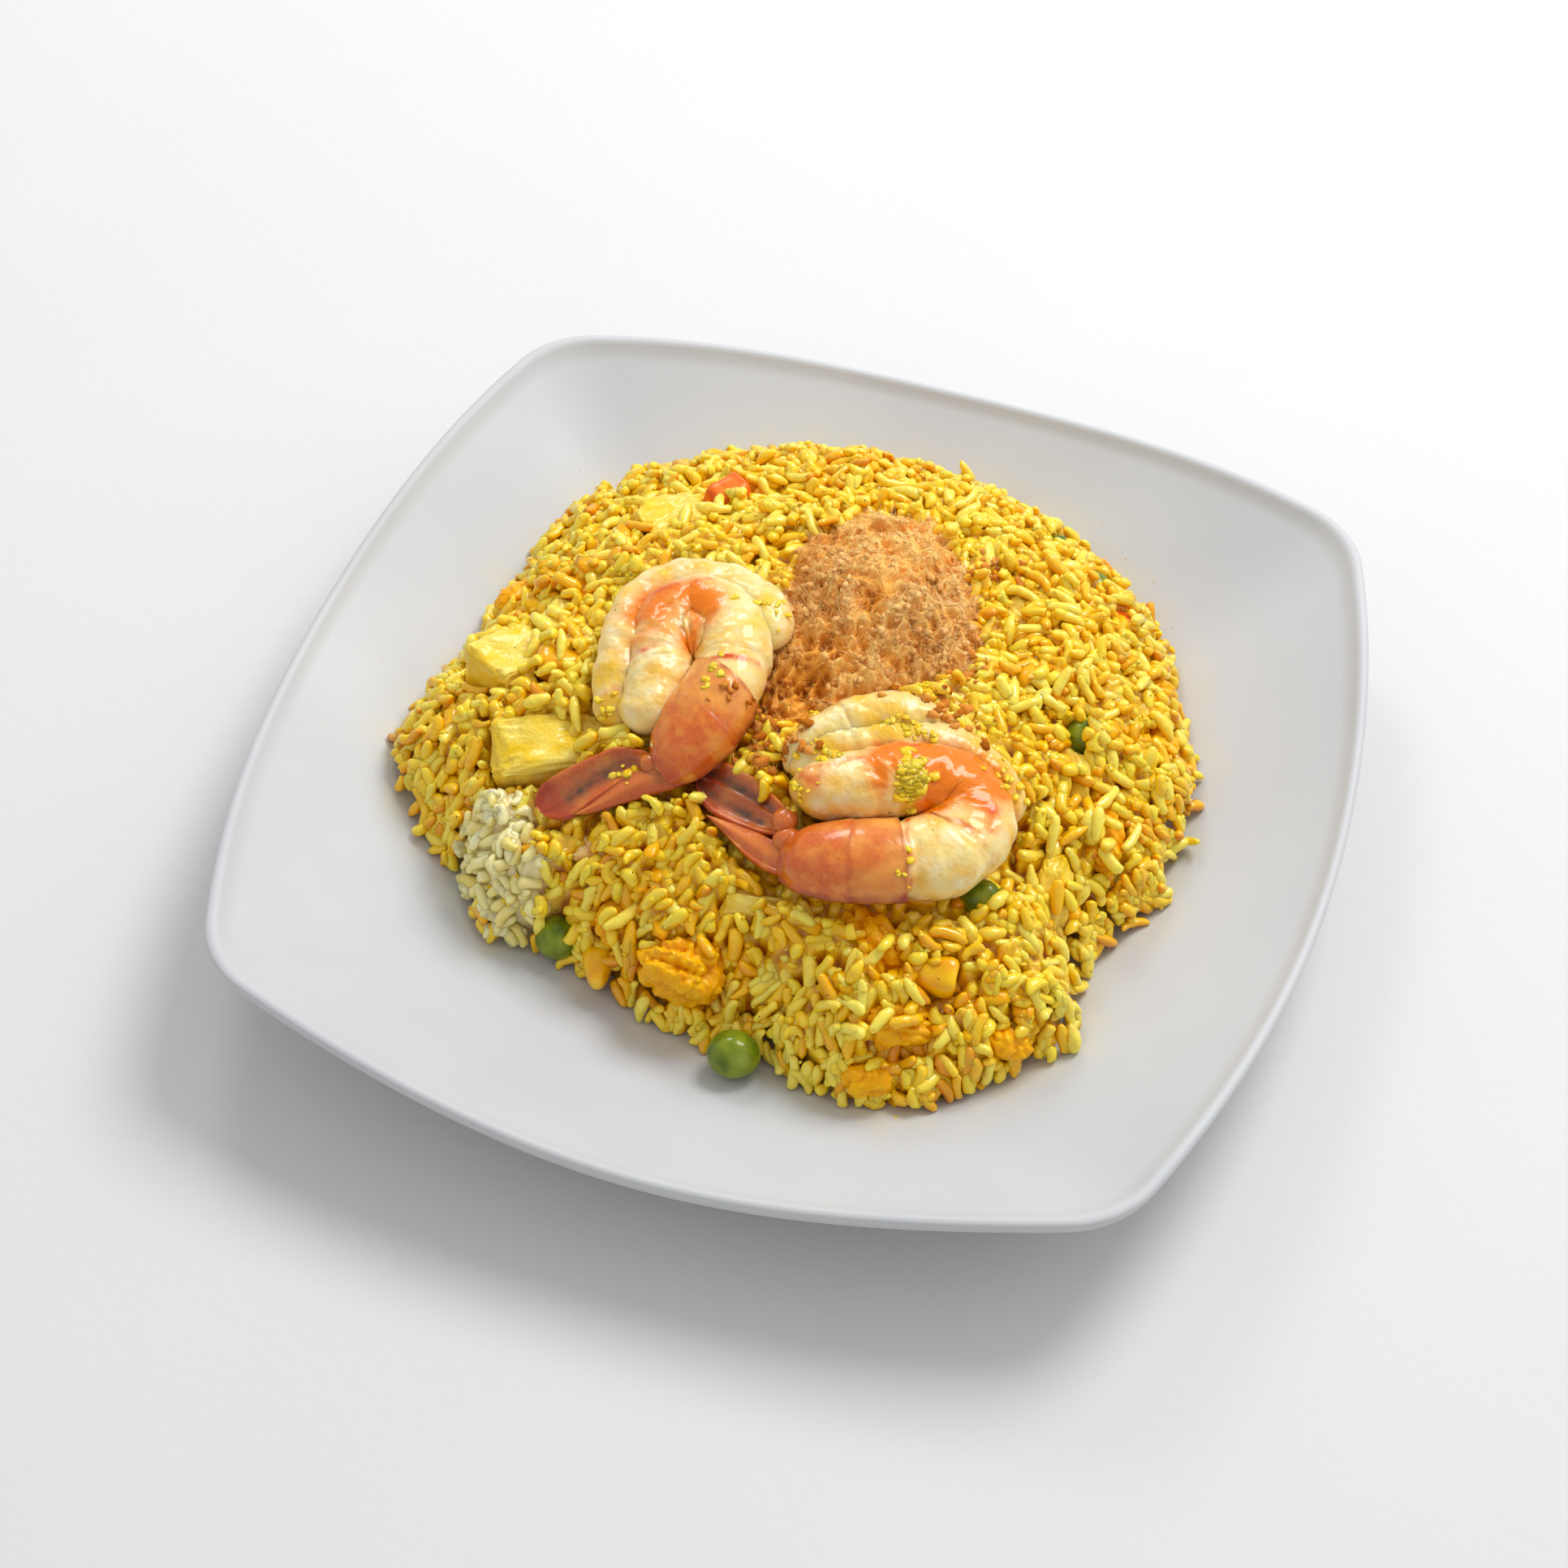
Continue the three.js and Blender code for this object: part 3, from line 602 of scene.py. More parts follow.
def shrimp_flesh():
    """Boiled shrimp: milky and slightly see-through, orange where the skin's pigment set, wet with oil."""
    material, tree, place = new_material("cooked_shrimp_flesh")
    body = mottled(tree, place, 5, 3, (0.4, 0.7), "#FADE92", "#F3C258")
    body = mottled(tree, place, 3.4, 3, (0.46, 0.74), body, "#FEF3D0", 0.6)
    stain = add(tree, "Math", {0: field(tree, "stain"), 1: cloud(tree, place, 3, 4)}, operation="MULTIPLY")
    body = blended(tree, ranged(tree, stain.outputs[0], 0.2, 0.5, 0, 0.85), body, "#F6C420")
    body = laid_over(tree, body, orange="#EE7E08", red="#D84A08")
    colour = specks(tree, place, 5.5, 0.24, PEPPER, body)
    moist(tree, colour, (cloud(tree, place, 1.0, 4), 0.24), 0.34, 1.42, (0.3, OIL_SHINE),
          (0.45, (1.0, 0.75, 0.5), 1.6), (0.6, 0.07))
    return material


def shrimp_shell():
    """Boiled shrimp shell: thin, glossy and coral, freckled red, with painted shade along its lower edge."""
    material, tree, place = new_material("cooked_shrimp_shell")
    body = mottled(tree, place, 6, 2, EVEN_PATCHES, "#E87A1E", "#D95F0E")
    body = laid_over(tree, body, pink="#DE6C2E")
    body = mottled(tree, place, 0.7, 2, (0.5, 0.72), body, "#CE5A1A")
    body = mottled(tree, place, 3.2, 3, (0.52, 0.72), body, "#F09C38", 0.7)
    # dark is the tail's dark webs, and painted shade along the shell's lower edge and over a tail tip
    colour = laid_over(tree, body, pale="#F2A748", red="#A8320E", dark="#4A3428")
    moist(tree, colour, (cloud(tree, place, 0.9, 3), 0.12), 0.28, 1.5, (0.35, "#FFE0B0"),
          (0.35, (1.0, 0.6, 0.35), 1.8), (0.9, 0.16))
    return material


def pineapple_flesh():
    """Fresh pineapple cut in chunks: juicy, pale yellow, with fibres that run from core to rind."""
    material, tree, place = new_material("fresh_pineapple")
    body = mottled(tree, place, 6, 3, EVEN_PATCHES, "#FBE170", "#F6CC14")
    body = laid_over(tree, body, fibre="#FBE660", edge="#EDC010", eye="#6B4A22")
    colour = specks(tree, place, 6, 0.24, PEPPER, body)
    moist(tree, colour, (cloud(tree, place, 1.1, 4), 0.35), 0.34, 1.4, (0.3, OIL_SHINE),
          (0.4, (1.0, 0.8, 0.3), 1.2), (0.5, 0.08))
    return material


def oiled(name, light, deep, patch_mm, wet, rind):
    """Vegetable or egg under a film of oil: its colour in patches of two depths, and another for its rind; on
    the egg that other colour is painted shade in the creases.
    """
    material, tree, place = new_material(name)
    body = mottled(tree, place, patch_mm, 3, EVEN_PATCHES, deep, light)
    body = laid_over(tree, body, edge=rind)
    colour = specks(tree, place, 5, 0.22, PEPPER, body)
    moist(tree, colour, (cloud(tree, place, 0.8, 3), 0.1), 0.3, 1.45, (0.3, OIL_SHINE),
          (0.3, (1.0, 0.7, 0.3), 2.0), (wet, 0.1))
    return material


# Plate

def build_plate():
    """Turned profile of the plate, with its level lines squared and its corners raised.

    Each row of the profile is a share of the way to the rim and a height: foot, underside, rim, then dish."""
    foot = np.array([
        [0.43, FOOT_RECESS], [0.445, 1.2], [0.452, 0.3], [0.458, 0.0],
        [0.492, 0.0], [0.498, 0.3], [0.507, 1.4], [0.52, 2.1],
    ])
    shares = np.linspace(0.56, 0.95, 14)
    under = np.stack([shares, side_profile(shares) - WALL], -1)
    rim = np.array([
        [0.976, 18.9], [0.986, 19.5], [0.9925, 20.1], [0.9955, 20.7], [0.9962, 21.2], [0.9955, 21.5],
        [0.9985, 21.75], [0.9998, 22.1], [1.0, 22.6], [1.0, 23.05], [0.9985, 23.5], [0.9955, 23.8],
        [0.991, 23.97], [0.9875, 23.98], [0.984, 23.8], [0.979, 23.35],
    ])
    shares = np.linspace(0.972, 0.02, 60)
    dish = np.stack([shares, side_profile(shares)], -1)
    profile = np.concatenate([foot, under, rim, dish])
    around = 288
    even = np.linspace(0, 2 * math.pi, around, endpoint=False)
    angle = (even + CORNER_CROWDING * np.sin(4 * even))[None, :]
    share = profile[:, :1]
    radius = level_radius(angle, share)
    lift = np.where(profile[:, 1:] > FOOT_RECESS, corner_lift(angle, share), 0)
    x = radius * np.cos(angle)
    y = radius * np.sin(angle)
    z = profile[:, 1:] + lift
    rings = np.stack([x, y, z], -1)[None]
    reach = share_of(x, y, HEAP_CENTRE, heap_radius)
    upper = np.arange(len(profile))[:, None] > len(foot) + len(under) + len(rim) - 1
    near = np.where(upper, step(reach, 1.32, 1.0), 0)
    oil = ring_values(near[None], around)
    make_piece("plate_body", [skin(rings)], melamine(), "melamine", ["plate"], oil=oil)


build_plate()


# Toppings

toppings = []


def lay(name, rings, material, slot, node, cover, **fields):
    """Makes a topping from one stack of rings, and keeps its surface and how deep the rice may cover it."""
    surface = skin(rings[None])
    spread = {key: ring_values(value[None], rings.shape[1]) for key, value in fields.items()}
    toppings.append((surface, cover))
    make_piece(name, [surface], material, slot, [node], **spread)


def warped(points, size, depth, seed):
    """Points moved every way by smooth noise, so that a regular form turns uneven."""
    return points + depth * np.stack([noise(points, size, seed + k) for k in (1, 2, 3)], -1)


def build_pineapple():
    """Pineapple chunks: squared-off balls narrowed to the core, cut by planes, bent and ribbed by noise.

    The first four are large and plain to see; the third has a pit and the fourth a brown eye."""
    material = pineapple_flesh()
    for number, (at, size, turn, taper, sink) in enumerate(PINEAPPLE, 1):
        small = number > 4
        unit = ball(128, 72, 0.42 if small else 0.3)
        half = np.array(size) / 2
        x = unit[..., 0]
        narrow = 1 + (taper - 1) * (x + 1) / 2
        body = unit * half * np.stack([np.ones_like(x), narrow, np.ones_like(x)], -1)
        random = np.random.default_rng(number)
        for way in random.standard_normal((7, 3)) * (1, 1, 0.8):
            way /= np.linalg.norm(way)
            limit = random.uniform(0.74, 0.88) * float((body @ way).max())
            body = body - np.maximum(body @ way - limit, 0)[..., None] * way * 0.92
        fibre = rough((body + 40 * number) * np.array([0.25, 1.0, 1.0]), 1.9, number, 2)
        body = warped(body + 20 * number, 9, 1.6 if small else 1.1, number) - 20 * number
        body = warped(body + 9 * number, 3.2, 0.7 if small else 0.45, number + 4) - 9 * number
        fine = rough((body + 60 * number) * np.array([0.3, 1.0, 1.0]), 0.9, number + 7, 2)
        grow = 1 - (0.1 if small else 0.075) * np.abs(fibre) - 0.04 * np.abs(fine)
        eye = np.zeros_like(x)
        if number in (3, 4):
            spot = half * np.array([-0.1, -0.1, 1.0])
            away = np.hypot((body[..., 0] - spot[0]) * 0.7, body[..., 1] - spot[1]) + 6 * (body[..., 2] < 0)
            pit = bell(away, 0, 2.0 if number == 4 else 3.4)
            grow = grow - (0.16 if number == 4 else 0.4) * pit
            eye = bell(away, 0, 1.2) * (number == 4) * step(noise(body, 0.8, 5), -0.5, 0.2)
        body = body * grow[..., None]
        edge = step(-x, 0.72, 0.98) * 0.7
        rings = turned(body, turn) + middle_of(at, sink)
        lay(f"pineapple_chunk_{number}", rings, material, "pineapple", f"pineapple_{number}",
            PINEAPPLE_COVERS.get(number, 0.8), fibre=step(fibre, 0.0, 0.9) * 0.7, edge=edge, eye=eye)


def build_carrot():
    """Two diced blocks, squared-off balls, and one slice, a flat ball with a ring of darker flesh."""
    material = oiled("cooked_carrot", "#F5791A", "#E25A08", 2.5, 0.3, "#F4983C")
    for number, (at, size, turn, sink) in enumerate(CARROT, 1):
        slice_of = number == 3
        unit = ball(72, 44, 1.0 if slice_of else 0.36)
        if slice_of:
            squared = np.sign(unit[..., 2]) * np.abs(unit[..., 2]) ** 0.35
            unit = np.stack([unit[..., 0], unit[..., 1], squared], -1)
        body = warped(unit * np.array(size) / 2 + 7 * number, 4, 0.5, number) - 7 * number
        core = bell(np.hypot(unit[..., 0], unit[..., 1]), 0, 0.45) * 0.6
        rings = turned(body, turn) + middle_of(at, sink)
        name = "slice" if slice_of else "dice"
        cover = -1.2 if number == 1 else 0.6
        lay(f"carrot_{name}_{number}", rings, material, "carrot", f"carrot_{number}", cover, edge=core)


def build_peas():
    """Cooked peas: balls with shallow dimples where the skin has wrinkled, paler along the seam."""
    material = oiled("cooked_pea", "#86951A", "#4E6A0A", 4, 0.5, "#A6B440")
    for number, (at, size, sink) in enumerate(PEAS, 1):
        unit = ball(64, 40)
        dimple = bell(np.linalg.norm(unit - np.array([0.35, -0.75, 0.55]), axis=-1), 0, 0.42)
        wrinkle = 0.05 * noise(unit + 3 * number, 0.7, number) - 0.06 * dimple
        body = unit * np.array(size) / 2 * (1 + wrinkle)[..., None]
        seam = bell(np.linalg.norm(unit - np.array([0.5, -0.6, 0.62]), axis=-1), 0, 0.36) * 0.8
        cover = 0.3 if number < 3 else 2.2
        rings = body + middle_of(at, sink)
        lay(f"pea_{number}_skin", rings, material, "pea", f"pea_{number}", cover, edge=seam)


def build_corn():
    """Sweetcorn kernels: balls squared a little, drawn in to a narrow root, with a dimple on the crown."""
    material = oiled("sweetcorn_kernel", "#FFC800", "#F4AC00", 4, 0.7, "#FBD23C")
    for number, (at, size, turn, sink) in enumerate(CORN, 1):
        unit = ball(64, 44, 0.72)
        x = unit[..., 0]
        root = 0.72 + 0.28 * x
        crown = 0.16 * bell(np.hypot(unit[..., 1], unit[..., 2]), 0, 0.5) * (x > 0)
        body = unit * np.stack([1 - crown, root, root], -1) * np.array(size) / 2
        body = warped(body + 5 * number, 4, 0.4, number) - 5 * number
        tip = step(-x, 0.6, 0.95) * 0.8
        rings = turned(body, turn) + middle_of(at, sink)
        lay(f"corn_kernel_{number}", rings, material, "sweetcorn", f"corn_{number}", 0.6, edge=tip)


def build_egg():
    """Scrambled egg torn small: balls swollen into soft folds with sharp creases between them, and painted
    shade in the creases.
    """
    for number, (at, size, turn, sink) in enumerate(EGG, 1):
        unit = ball(112, 66, 0.9)
        span = unit * np.array(size) / 2
        bent = warped(span + 30 * number, 5.0, 1.4, number)
        fold = np.abs(noise(bent * np.array([0.55, 1, 1]), 3.2, number))
        fold = fold + 0.5 * np.abs(noise(bent, 1.5, number + 9))
        swell = 0.86 + 0.42 * np.minimum(fold, 0.8) + 0.12 * noise(bent, 6, number + 3)
        torn = 0.05 * rough(bent, 0.9, number, 2)
        body = span * (swell + torn)[..., None] + (bent - span - 30 * number) * 0.7
        # Painted shade: a deeper colour in the creases between the folds
        crease_shade = step(0.35 - fold, 0.0, 0.35) * 0.7
        rings = turned(body, turn) + middle_of(at, sink)
        look = egg_white if number == 13 else egg_soft
        cover = 0.5 if number == 4 else 2.0
        lay(f"egg_piece_{number}", rings, look, "scrambled_egg", f"egg_{number}", cover, edge=crease_shade)


# The last colour of each egg finish is painted shade for the creases of the pieces
egg_soft = oiled("scrambled_egg", "#FDBE08", "#F6A804", 3, 0.2, "#E89204")
egg_white = oiled("scrambled_egg_white", "#F1D08A", "#E6A93A", 3, 0.25, "#D8863A")
build_pineapple()
build_carrot()
build_peas()
build_corn()
build_egg()


# Shrimps

# Points around a limb or blade, and the turn in degrees at which a shell has its lower edge
AROUND = 72
UNDER_EDGE = -8

# Flesh: place in plan, lift above the heap, half width and half height, from the head end to the tail
LEFT_FLESH = [
    (-29.6, -21.9, 4.2, 4.6, 4.4), (-29.6, -17.8, 5, 6.0, 5.5), (-29.9, -13.1, 5.5, 6.2, 6),
    (-30.4, -7.6, 6, 6.6, 6), (-32.0, -1.0, 6, 6.8, 6), (-33.0, 5.0, 6, 7.2, 6), (-31.2, 10.0, 6, 7.4, 6),
    (-26.9, 11.6, 6, 7.2, 6), (-21.5, 9.5, 6, 8.0, 6), (-17.4, 3.3, 6, 8.1, 6.5),
    (-15.6, -4.4, 6, 7.9, 6.5), (-16.1, -11.8, 6, 7.9, 6.3), (-17.6, -19.2, 6, 7.9, 5.8),
    (-19.7, -24.7, 5.5, 6.9, 5), (-21.4, -27.9, 5, 5.6, 4), (-23.0, -29.6, 4.6, 4.4, 3),
]
LEFT_FLAP = [
    (-34.5, -20.5, 3.5, 2.2, 3.0), (-37.0, -15.5, 4.5, 2.8, 3.8), (-38.8, -9.5, 5.2, 3.0, 4.3),
    (-40.0, -3.0, 5.6, 3.0, 4.4), (-41.0, 4.0, 5.6, 3.2, 4.4), (-40.8, 11.0, 5.6, 3.4, 4.2),
    (-38.0, 16.5, 5.6, 3.4, 4.0), (-33.5, 19.3, 5.5, 3.2, 4.0), (-28.0, 19.6, 5.5, 3.0, 4.0),
    (-22.5, 18.6, 5.5, 3.0, 4.0), (-17.2, 16.0, 5.6, 3.5, 4.4), (-12.8, 11.0, 5.4, 3.2, 4.2),
    (-10.2, 5.0, 5.0, 2.2, 3.4),
]
RIGHT_FLESH = [
    (5.4, -26.6, 4, 2.6, 3.5), (8.2, -26.9, 5, 4.8, 5), (12.5, -26.0, 5.5, 6.6, 6),
    (18.0, -23.5, 6, 7.8, 6.5), (23.8, -20.2, 6, 8.4, 6.5), (29.1, -17.0, 6, 8.6, 6.5),
    (33.8, -15.4, 6, 9.0, 6.5), (37.6, -15.8, 6, 9.4, 6.5), (40.0, -18.2, 6, 9.6, 6.5),
    (41.3, -21.2, 5.8, 9.8, 6.6), (41.8, -24.7, 5.7, 10.0, 6.8), (41.0, -28.4, 5.8, 10.0, 7.0),
    (38.6, -31.4, 6, 9.7, 7.0), (35.1, -33.8, 6, 9.1, 7.0), (29.4, -36.7, 6, 8.9, 6.9),
    (22.9, -39.2, 5.8, 8.6, 6.6), (16.3, -40.4, 5.2, 7.8, 6.0), (11.1, -40.4, 4.6, 6.6, 4.8),
    (8.6, -40.2, 4, 5.0, 3.4),
]
RIGHT_FLAP = [
    (4.2, -23.2, 4, 2.0, 3.0), (7.4, -19.4, 5, 2.8, 3.6), (12.2, -15.6, 5.6, 3.0, 4.2),
    (18.0, -12.2, 6, 3.0, 4.4), (24.0, -9.2, 6, 3.2, 4.4), (30.0, -6.9, 6, 3.2, 4.4),
    (36.0, -6.4, 6, 3.2, 4.2), (41.5, -7.6, 5.6, 3.2, 4.0), (46.2, -10.6, 5, 3.0, 3.8),
    (49.2, -15.2, 4.5, 2.4, 3.2),
]
RIGHT_BACK = [
    (3.0, -22.5, 3.4, 3.0, 3.0), (5.4, -17.5, 4.5, 4.4, 4.4), (9.8, -11.8, 5.4, 5.0, 5.2),
    (15.0, -7.5, 6, 5.3, 5.8), (20.5, -4.2, 6, 5.4, 5.8), (26.0, -2.6, 5.5, 5.0, 5.0),
    (31.0, -2.4, 4, 3.6, 3.6),
]
LEFT_BRIDGE = [
    (-33.0, 2.5, 4, 4.5, 5.0), (-29.5, 4.0, 4.8, 6.6, 5.6), (-25.5, 4.2, 5.0, 7.2, 5.6),
    (-21.5, 3.4, 4.8, 6.6, 5.6), (-18.0, 1.5, 4, 4.0, 5.0),
]

# Tail blades: two edges in plan and a lift above the heap, from the root to the tip
LEFT_BLADE_UPPER = [
    (-25.6, -25.9, -21.6, -29.4, 4.8), (-32.7, -26.4, -26.7, -31.2, 5.2),
    (-36.8, -28.7, -29.8, -34.2, 5.2), (-42.4, -32.0, -33.6, -37.9, 5.0),
    (-46.3, -34.9, -37.3, -41.4, 4.6), (-48.2, -37.9, -41.8, -42.7, 4.2),
]
LEFT_BLADE_LOWER = [
    (-21.5, -28.0, -17.0, -32.2, 5.2), (-25.3, -29.8, -20.5, -33.6, 5.2),
    (-28.9, -32.2, -24.5, -35.2, 4.9), (-32.1, -35.7, -29.1, -37.3, 4.6),
    (-34.8, -38.4, -32.9, -39.2, 4.2), (-37.2, -40.2, -36.9, -40.6, 3.8),
]
RIGHT_BLADE_UPPER = [
    (8.4, -32.0, 8.1, -36.4, 4.4), (2.1, -28.3, 2.9, -36.9, 4.0), (-1.7, -25.9, -1.1, -36.6, 3.6),
    (-6.1, -24.3, -5.3, -35.8, 3.0), (-10.7, -23.0, -10.3, -33.8, 2.4), (-14.8, -23.8, -15.2, -29.6, 1.8),
]
RIGHT_BLADE_LOWER = [
    (12.0, -37.4, 13.4, -45.0, 4.6), (5.8, -37.6, 7.3, -44.0, 4.2), (2.1, -36.8, 3.2, -42.8, 3.8),
    (-1.8, -36.2, -1.0, -40.8, 3.4), (-5.8, -35.7, -5.5, -38.0, 3.0), (-10.1, -35.0, -9.9, -35.4, 2.6),
]

# Colour patches in plan: place, reach and strength
LEFT_ORANGE = [
    (-39, 4, 4, 1), (-37, 10, 4.5, 1), (-30, 10, 4.5, 1), (-25, 8, 3.5, 0.8), (-32, 2, 4, 0.7),
    (-26, -1, 3, 0.9), (-36, -4, 3, 0.6), (-24, 4, 2.5, 0.7),
]
LEFT_STAIN = [
    (-40, -13, 3.4, 1), (-37, -20, 3.4, 1), (-44, 10, 3, 0.6), (-38, 18, 3, 0.7), (-14, 14, 3, 0.8),
    (-13, 7, 3, 0.7), (-19, 1, 3, 0.4), (-30, 20, 3, 0.5),
]
RIGHT_ORANGE = [
    (22, -19, 4, 0.9), (26, -17, 4, 1), (31, -14, 4, 1), (36, -12, 4.5, 1), (41, -12, 4.5, 1),
    (46, -15, 4, 1), (35, -19, 4.5, 1), (41, -18, 4.2, 1), (35, -24, 3.5, 0.8), (24, -25, 2.5, 0.8),
    (11, -28, 3, 0.6), (45, -22, 3, 0.7),
]

# Red lines in plan, where a segment ends: the two ends of each line, its half width and its strength
LEFT_RED = [
    ((-22.5, -8.0), (-9.5, -3.5), 1.0, 1), ((-37, -8.5), (-32, -6.5), 1.1, 0.9),
    ((-27, 2.5), (-23, 6.5), 0.7, 0.7), ((-39.5, -17), (-36.5, -15), 1.0, 0.5),
    ((-40, 8.5), (-27, 15.5), 0.8, 0.6),
]
RIGHT_RED = [
    ((8, -27), (13, -29), 1.2, 0.8), ((9, -25), (19, -21.5), 0.9, 0.7),
    ((20, -15), (28, -12.5), 1.0, 0.8), ((36, -26), (48, -29), 0.8, 0.9),
    ((31, -29), (36.5, -44), 0.8, 1), ((38, -20), (44, -20), 0.7, 0.6),
    ((46.5, -21), (48.5, -26), 1.6, 0.7),
]
RIGHT_STAIN = [
    (23, -9, 4, 1), (18, -12, 3, 0.8), (10, -19, 3, 0.8), (9, -32, 3, 0.9), (29, -22, 2.5, 1),
    (30, -26, 2.5, 1), (38, -5, 3, 0.7), (48, -12, 3, 0.9), (13, -5, 4, 0.7), (4, -26, 3, 0.9),
    (44, -8, 3, 0.8),
]

# Turmeric mush on the shrimps: place in plan, scatter along X and Y, and bits; the first are the largest
MUSH_SPOTS = [
    (29.8, -21.0, 1.1, 2.3, 60), (29.5, -25.0, 1.2, 1.2, 24), (26, -8.6, 3.2, 1.0, 20), (46, -9.5, 2, 2, 12),
    (10, -20.5, 2.2, 1.6, 16), (8, -30, 1.6, 1.4, 12), (-28.5, -31.0, 1.4, 1.0, 9), (-38, -21, 1.5, 2, 12),
    (-14, 13, 3, 2, 10), (34, -41, 1, 2.2, 6), (-17.5, -10.5, 0.8, 3, 9),
]


def lines(points, table):
    """Thin lines in plan, each a bell over the distance from the stretch between its ends."""
    total = 0
    for start, end, wide, strength in table:
        run = np.subtract(end, start)
        off = points[..., :2] - np.array(start)
        share = np.clip((off @ run) / (run @ run), 0, 1)
        total = total + strength * bell(np.linalg.norm(off - share[..., None] * run, axis=-1), 0, wide)
    return np.clip(total, 0, 1.2)


def limb(rows):
    """Fine table along a limb on its side: middle, side and up directions, half width and half height."""
    rows = np.array(rows, float)
    rows[:, 2] += heap_top(rows[:, 0], rows[:, 1])
    table = spline(rows, 400)
    middle = table[:, :3]
    ahead = np.gradient(middle, axis=0)
    ahead /= np.linalg.norm(ahead, axis=1, keepdims=True)
    side = np.cross([0, 0, 1], ahead)
    side /= np.linalg.norm(side, axis=1, keepdims=True)
    up = np.cross(ahead, side)
    return np.concatenate([middle, side, up, table[:, 3:5]], axis=1)


def carried(table, along, turn, swell, first, last):
    """A round section carried along a limb, outwards at no turn and up at a quarter turn.

    The first and last shares of the length are its round ends, and none leaves that end open to a fan."""
    spots = np.linspace(0, 1, len(table))
    row = np.stack([np.interp(along, spots, table[:, k]) for k in range(table.shape[1])], -1)
    middle, side, up = row[..., :3], row[..., 3:6], row[..., 6:9]
    half_width, half_height = row[..., 9], row[..., 10]
    ends = 1.0
    for span, gap in ((first, along), (last, 1 - along)):
        if span:
            ends = ends * np.sqrt(np.maximum(1 - (1 - np.clip(gap / span, 0, 1)) ** 2, 0.004))
    cosine = np.cos(np.radians(turn))
    sine = np.sin(np.radians(turn))
    wide = (cosine * half_width * swell * ends)[..., None] * side
    high = (sine * half_height * swell * ends)[..., None] * up
    out = cosine[..., None] * side + sine[..., None] * up
    return middle + wide + high, out * np.broadcast_to(ends, along.shape)[..., None]


def grid(count, low=0.0, high=1.0):
    """Along and turn over a grid of rings, in shares of the length and in degrees."""
    along = np.linspace(low, high, count)[:, None] + np.zeros(AROUND)
    return along, np.arange(AROUND)[None, :] * 360 / AROUND + np.zeros((count, 1))


def streaks(points, pivot, seed):
    """Muscle streaks that fan out from the middle of the curl: noise over angle and distance."""
    fan = np.arctan2(points[..., 1] - pivot[1], points[..., 0] - pivot[0])
    away = np.hypot(points[..., 1] - pivot[1], points[..., 0] - pivot[0])
    return noise(np.stack([np.cos(fan) * 7, np.sin(fan) * 7, away / 7 + seed], -1), 1.0, seed)


def patches(points, table):
    """Soft patches in plan, each a bell about its place."""
    total = 0
    for x, y, reach, strength in table:
        total = total + strength * bell(np.hypot(points[..., 0] - x, points[..., 1] - y), 0, reach)
    return np.clip(total, 0, 1.3)


def flesh(rows, count, grooves, pivot, seed, first, last=0.05, pleats=0.2, bare=0.0):
    """Shrimp flesh: a round section along its path, with grooves between segments, pleats and uneven skin.

    Each groove has a place along the length and a depth; bare is how smooth the part under the shell is."""
    table = limb(rows)
    along, turn = grid(count)
    wander = noise(np.stack([turn / 40, along * 9, 0 * turn], -1), 1, seed)
    wander = along + (0.008 * np.sin(np.radians(turn * 2)) + 0.006 * wander)
    swell = 1 + 0 * along
    for place, deep in grooves:
        swell = swell - deep * bell(wander, place, 0.013) + 0.25 * deep * bell(wander, place + 0.04, 0.03)
    rings, out = carried(table, along, turn, swell, first, last)
    wave = pleats * 1.5 * streaks(rings, pivot, seed) + 0.3 * rough(rings, 3.4, seed, 4)
    wave = wave + 0.35 * noise(rings, 8, seed + 5)
    return rings + out * (wave * (1 - bare * step(along, 0.63, 0.7)))[..., None]


def flesh_fields(rings, pivot, orange, red, stain, seed):
    """Orange and red pigment and yellow oil on the flesh, broken up by streaks and noise."""
    streak = 0.5 + 0.5 * streaks(rings, pivot, seed)
    blur = 0.5 + 0.5 * rough(rings, 2.6, seed + 3, 3)
    return {
        "orange": np.clip(1.7 * patches(rings, orange) * (0.5 + 0.6 * streak) * (0.5 + 0.7 * blur), 0, 1),
        "red": np.clip(lines(warped(rings, 3, 0.7, seed), red) * (1.5 * blur - 0.1), 0, 1),
        "stain": np.clip(0.25 + patches(rings, stain), 0, 1),
    }


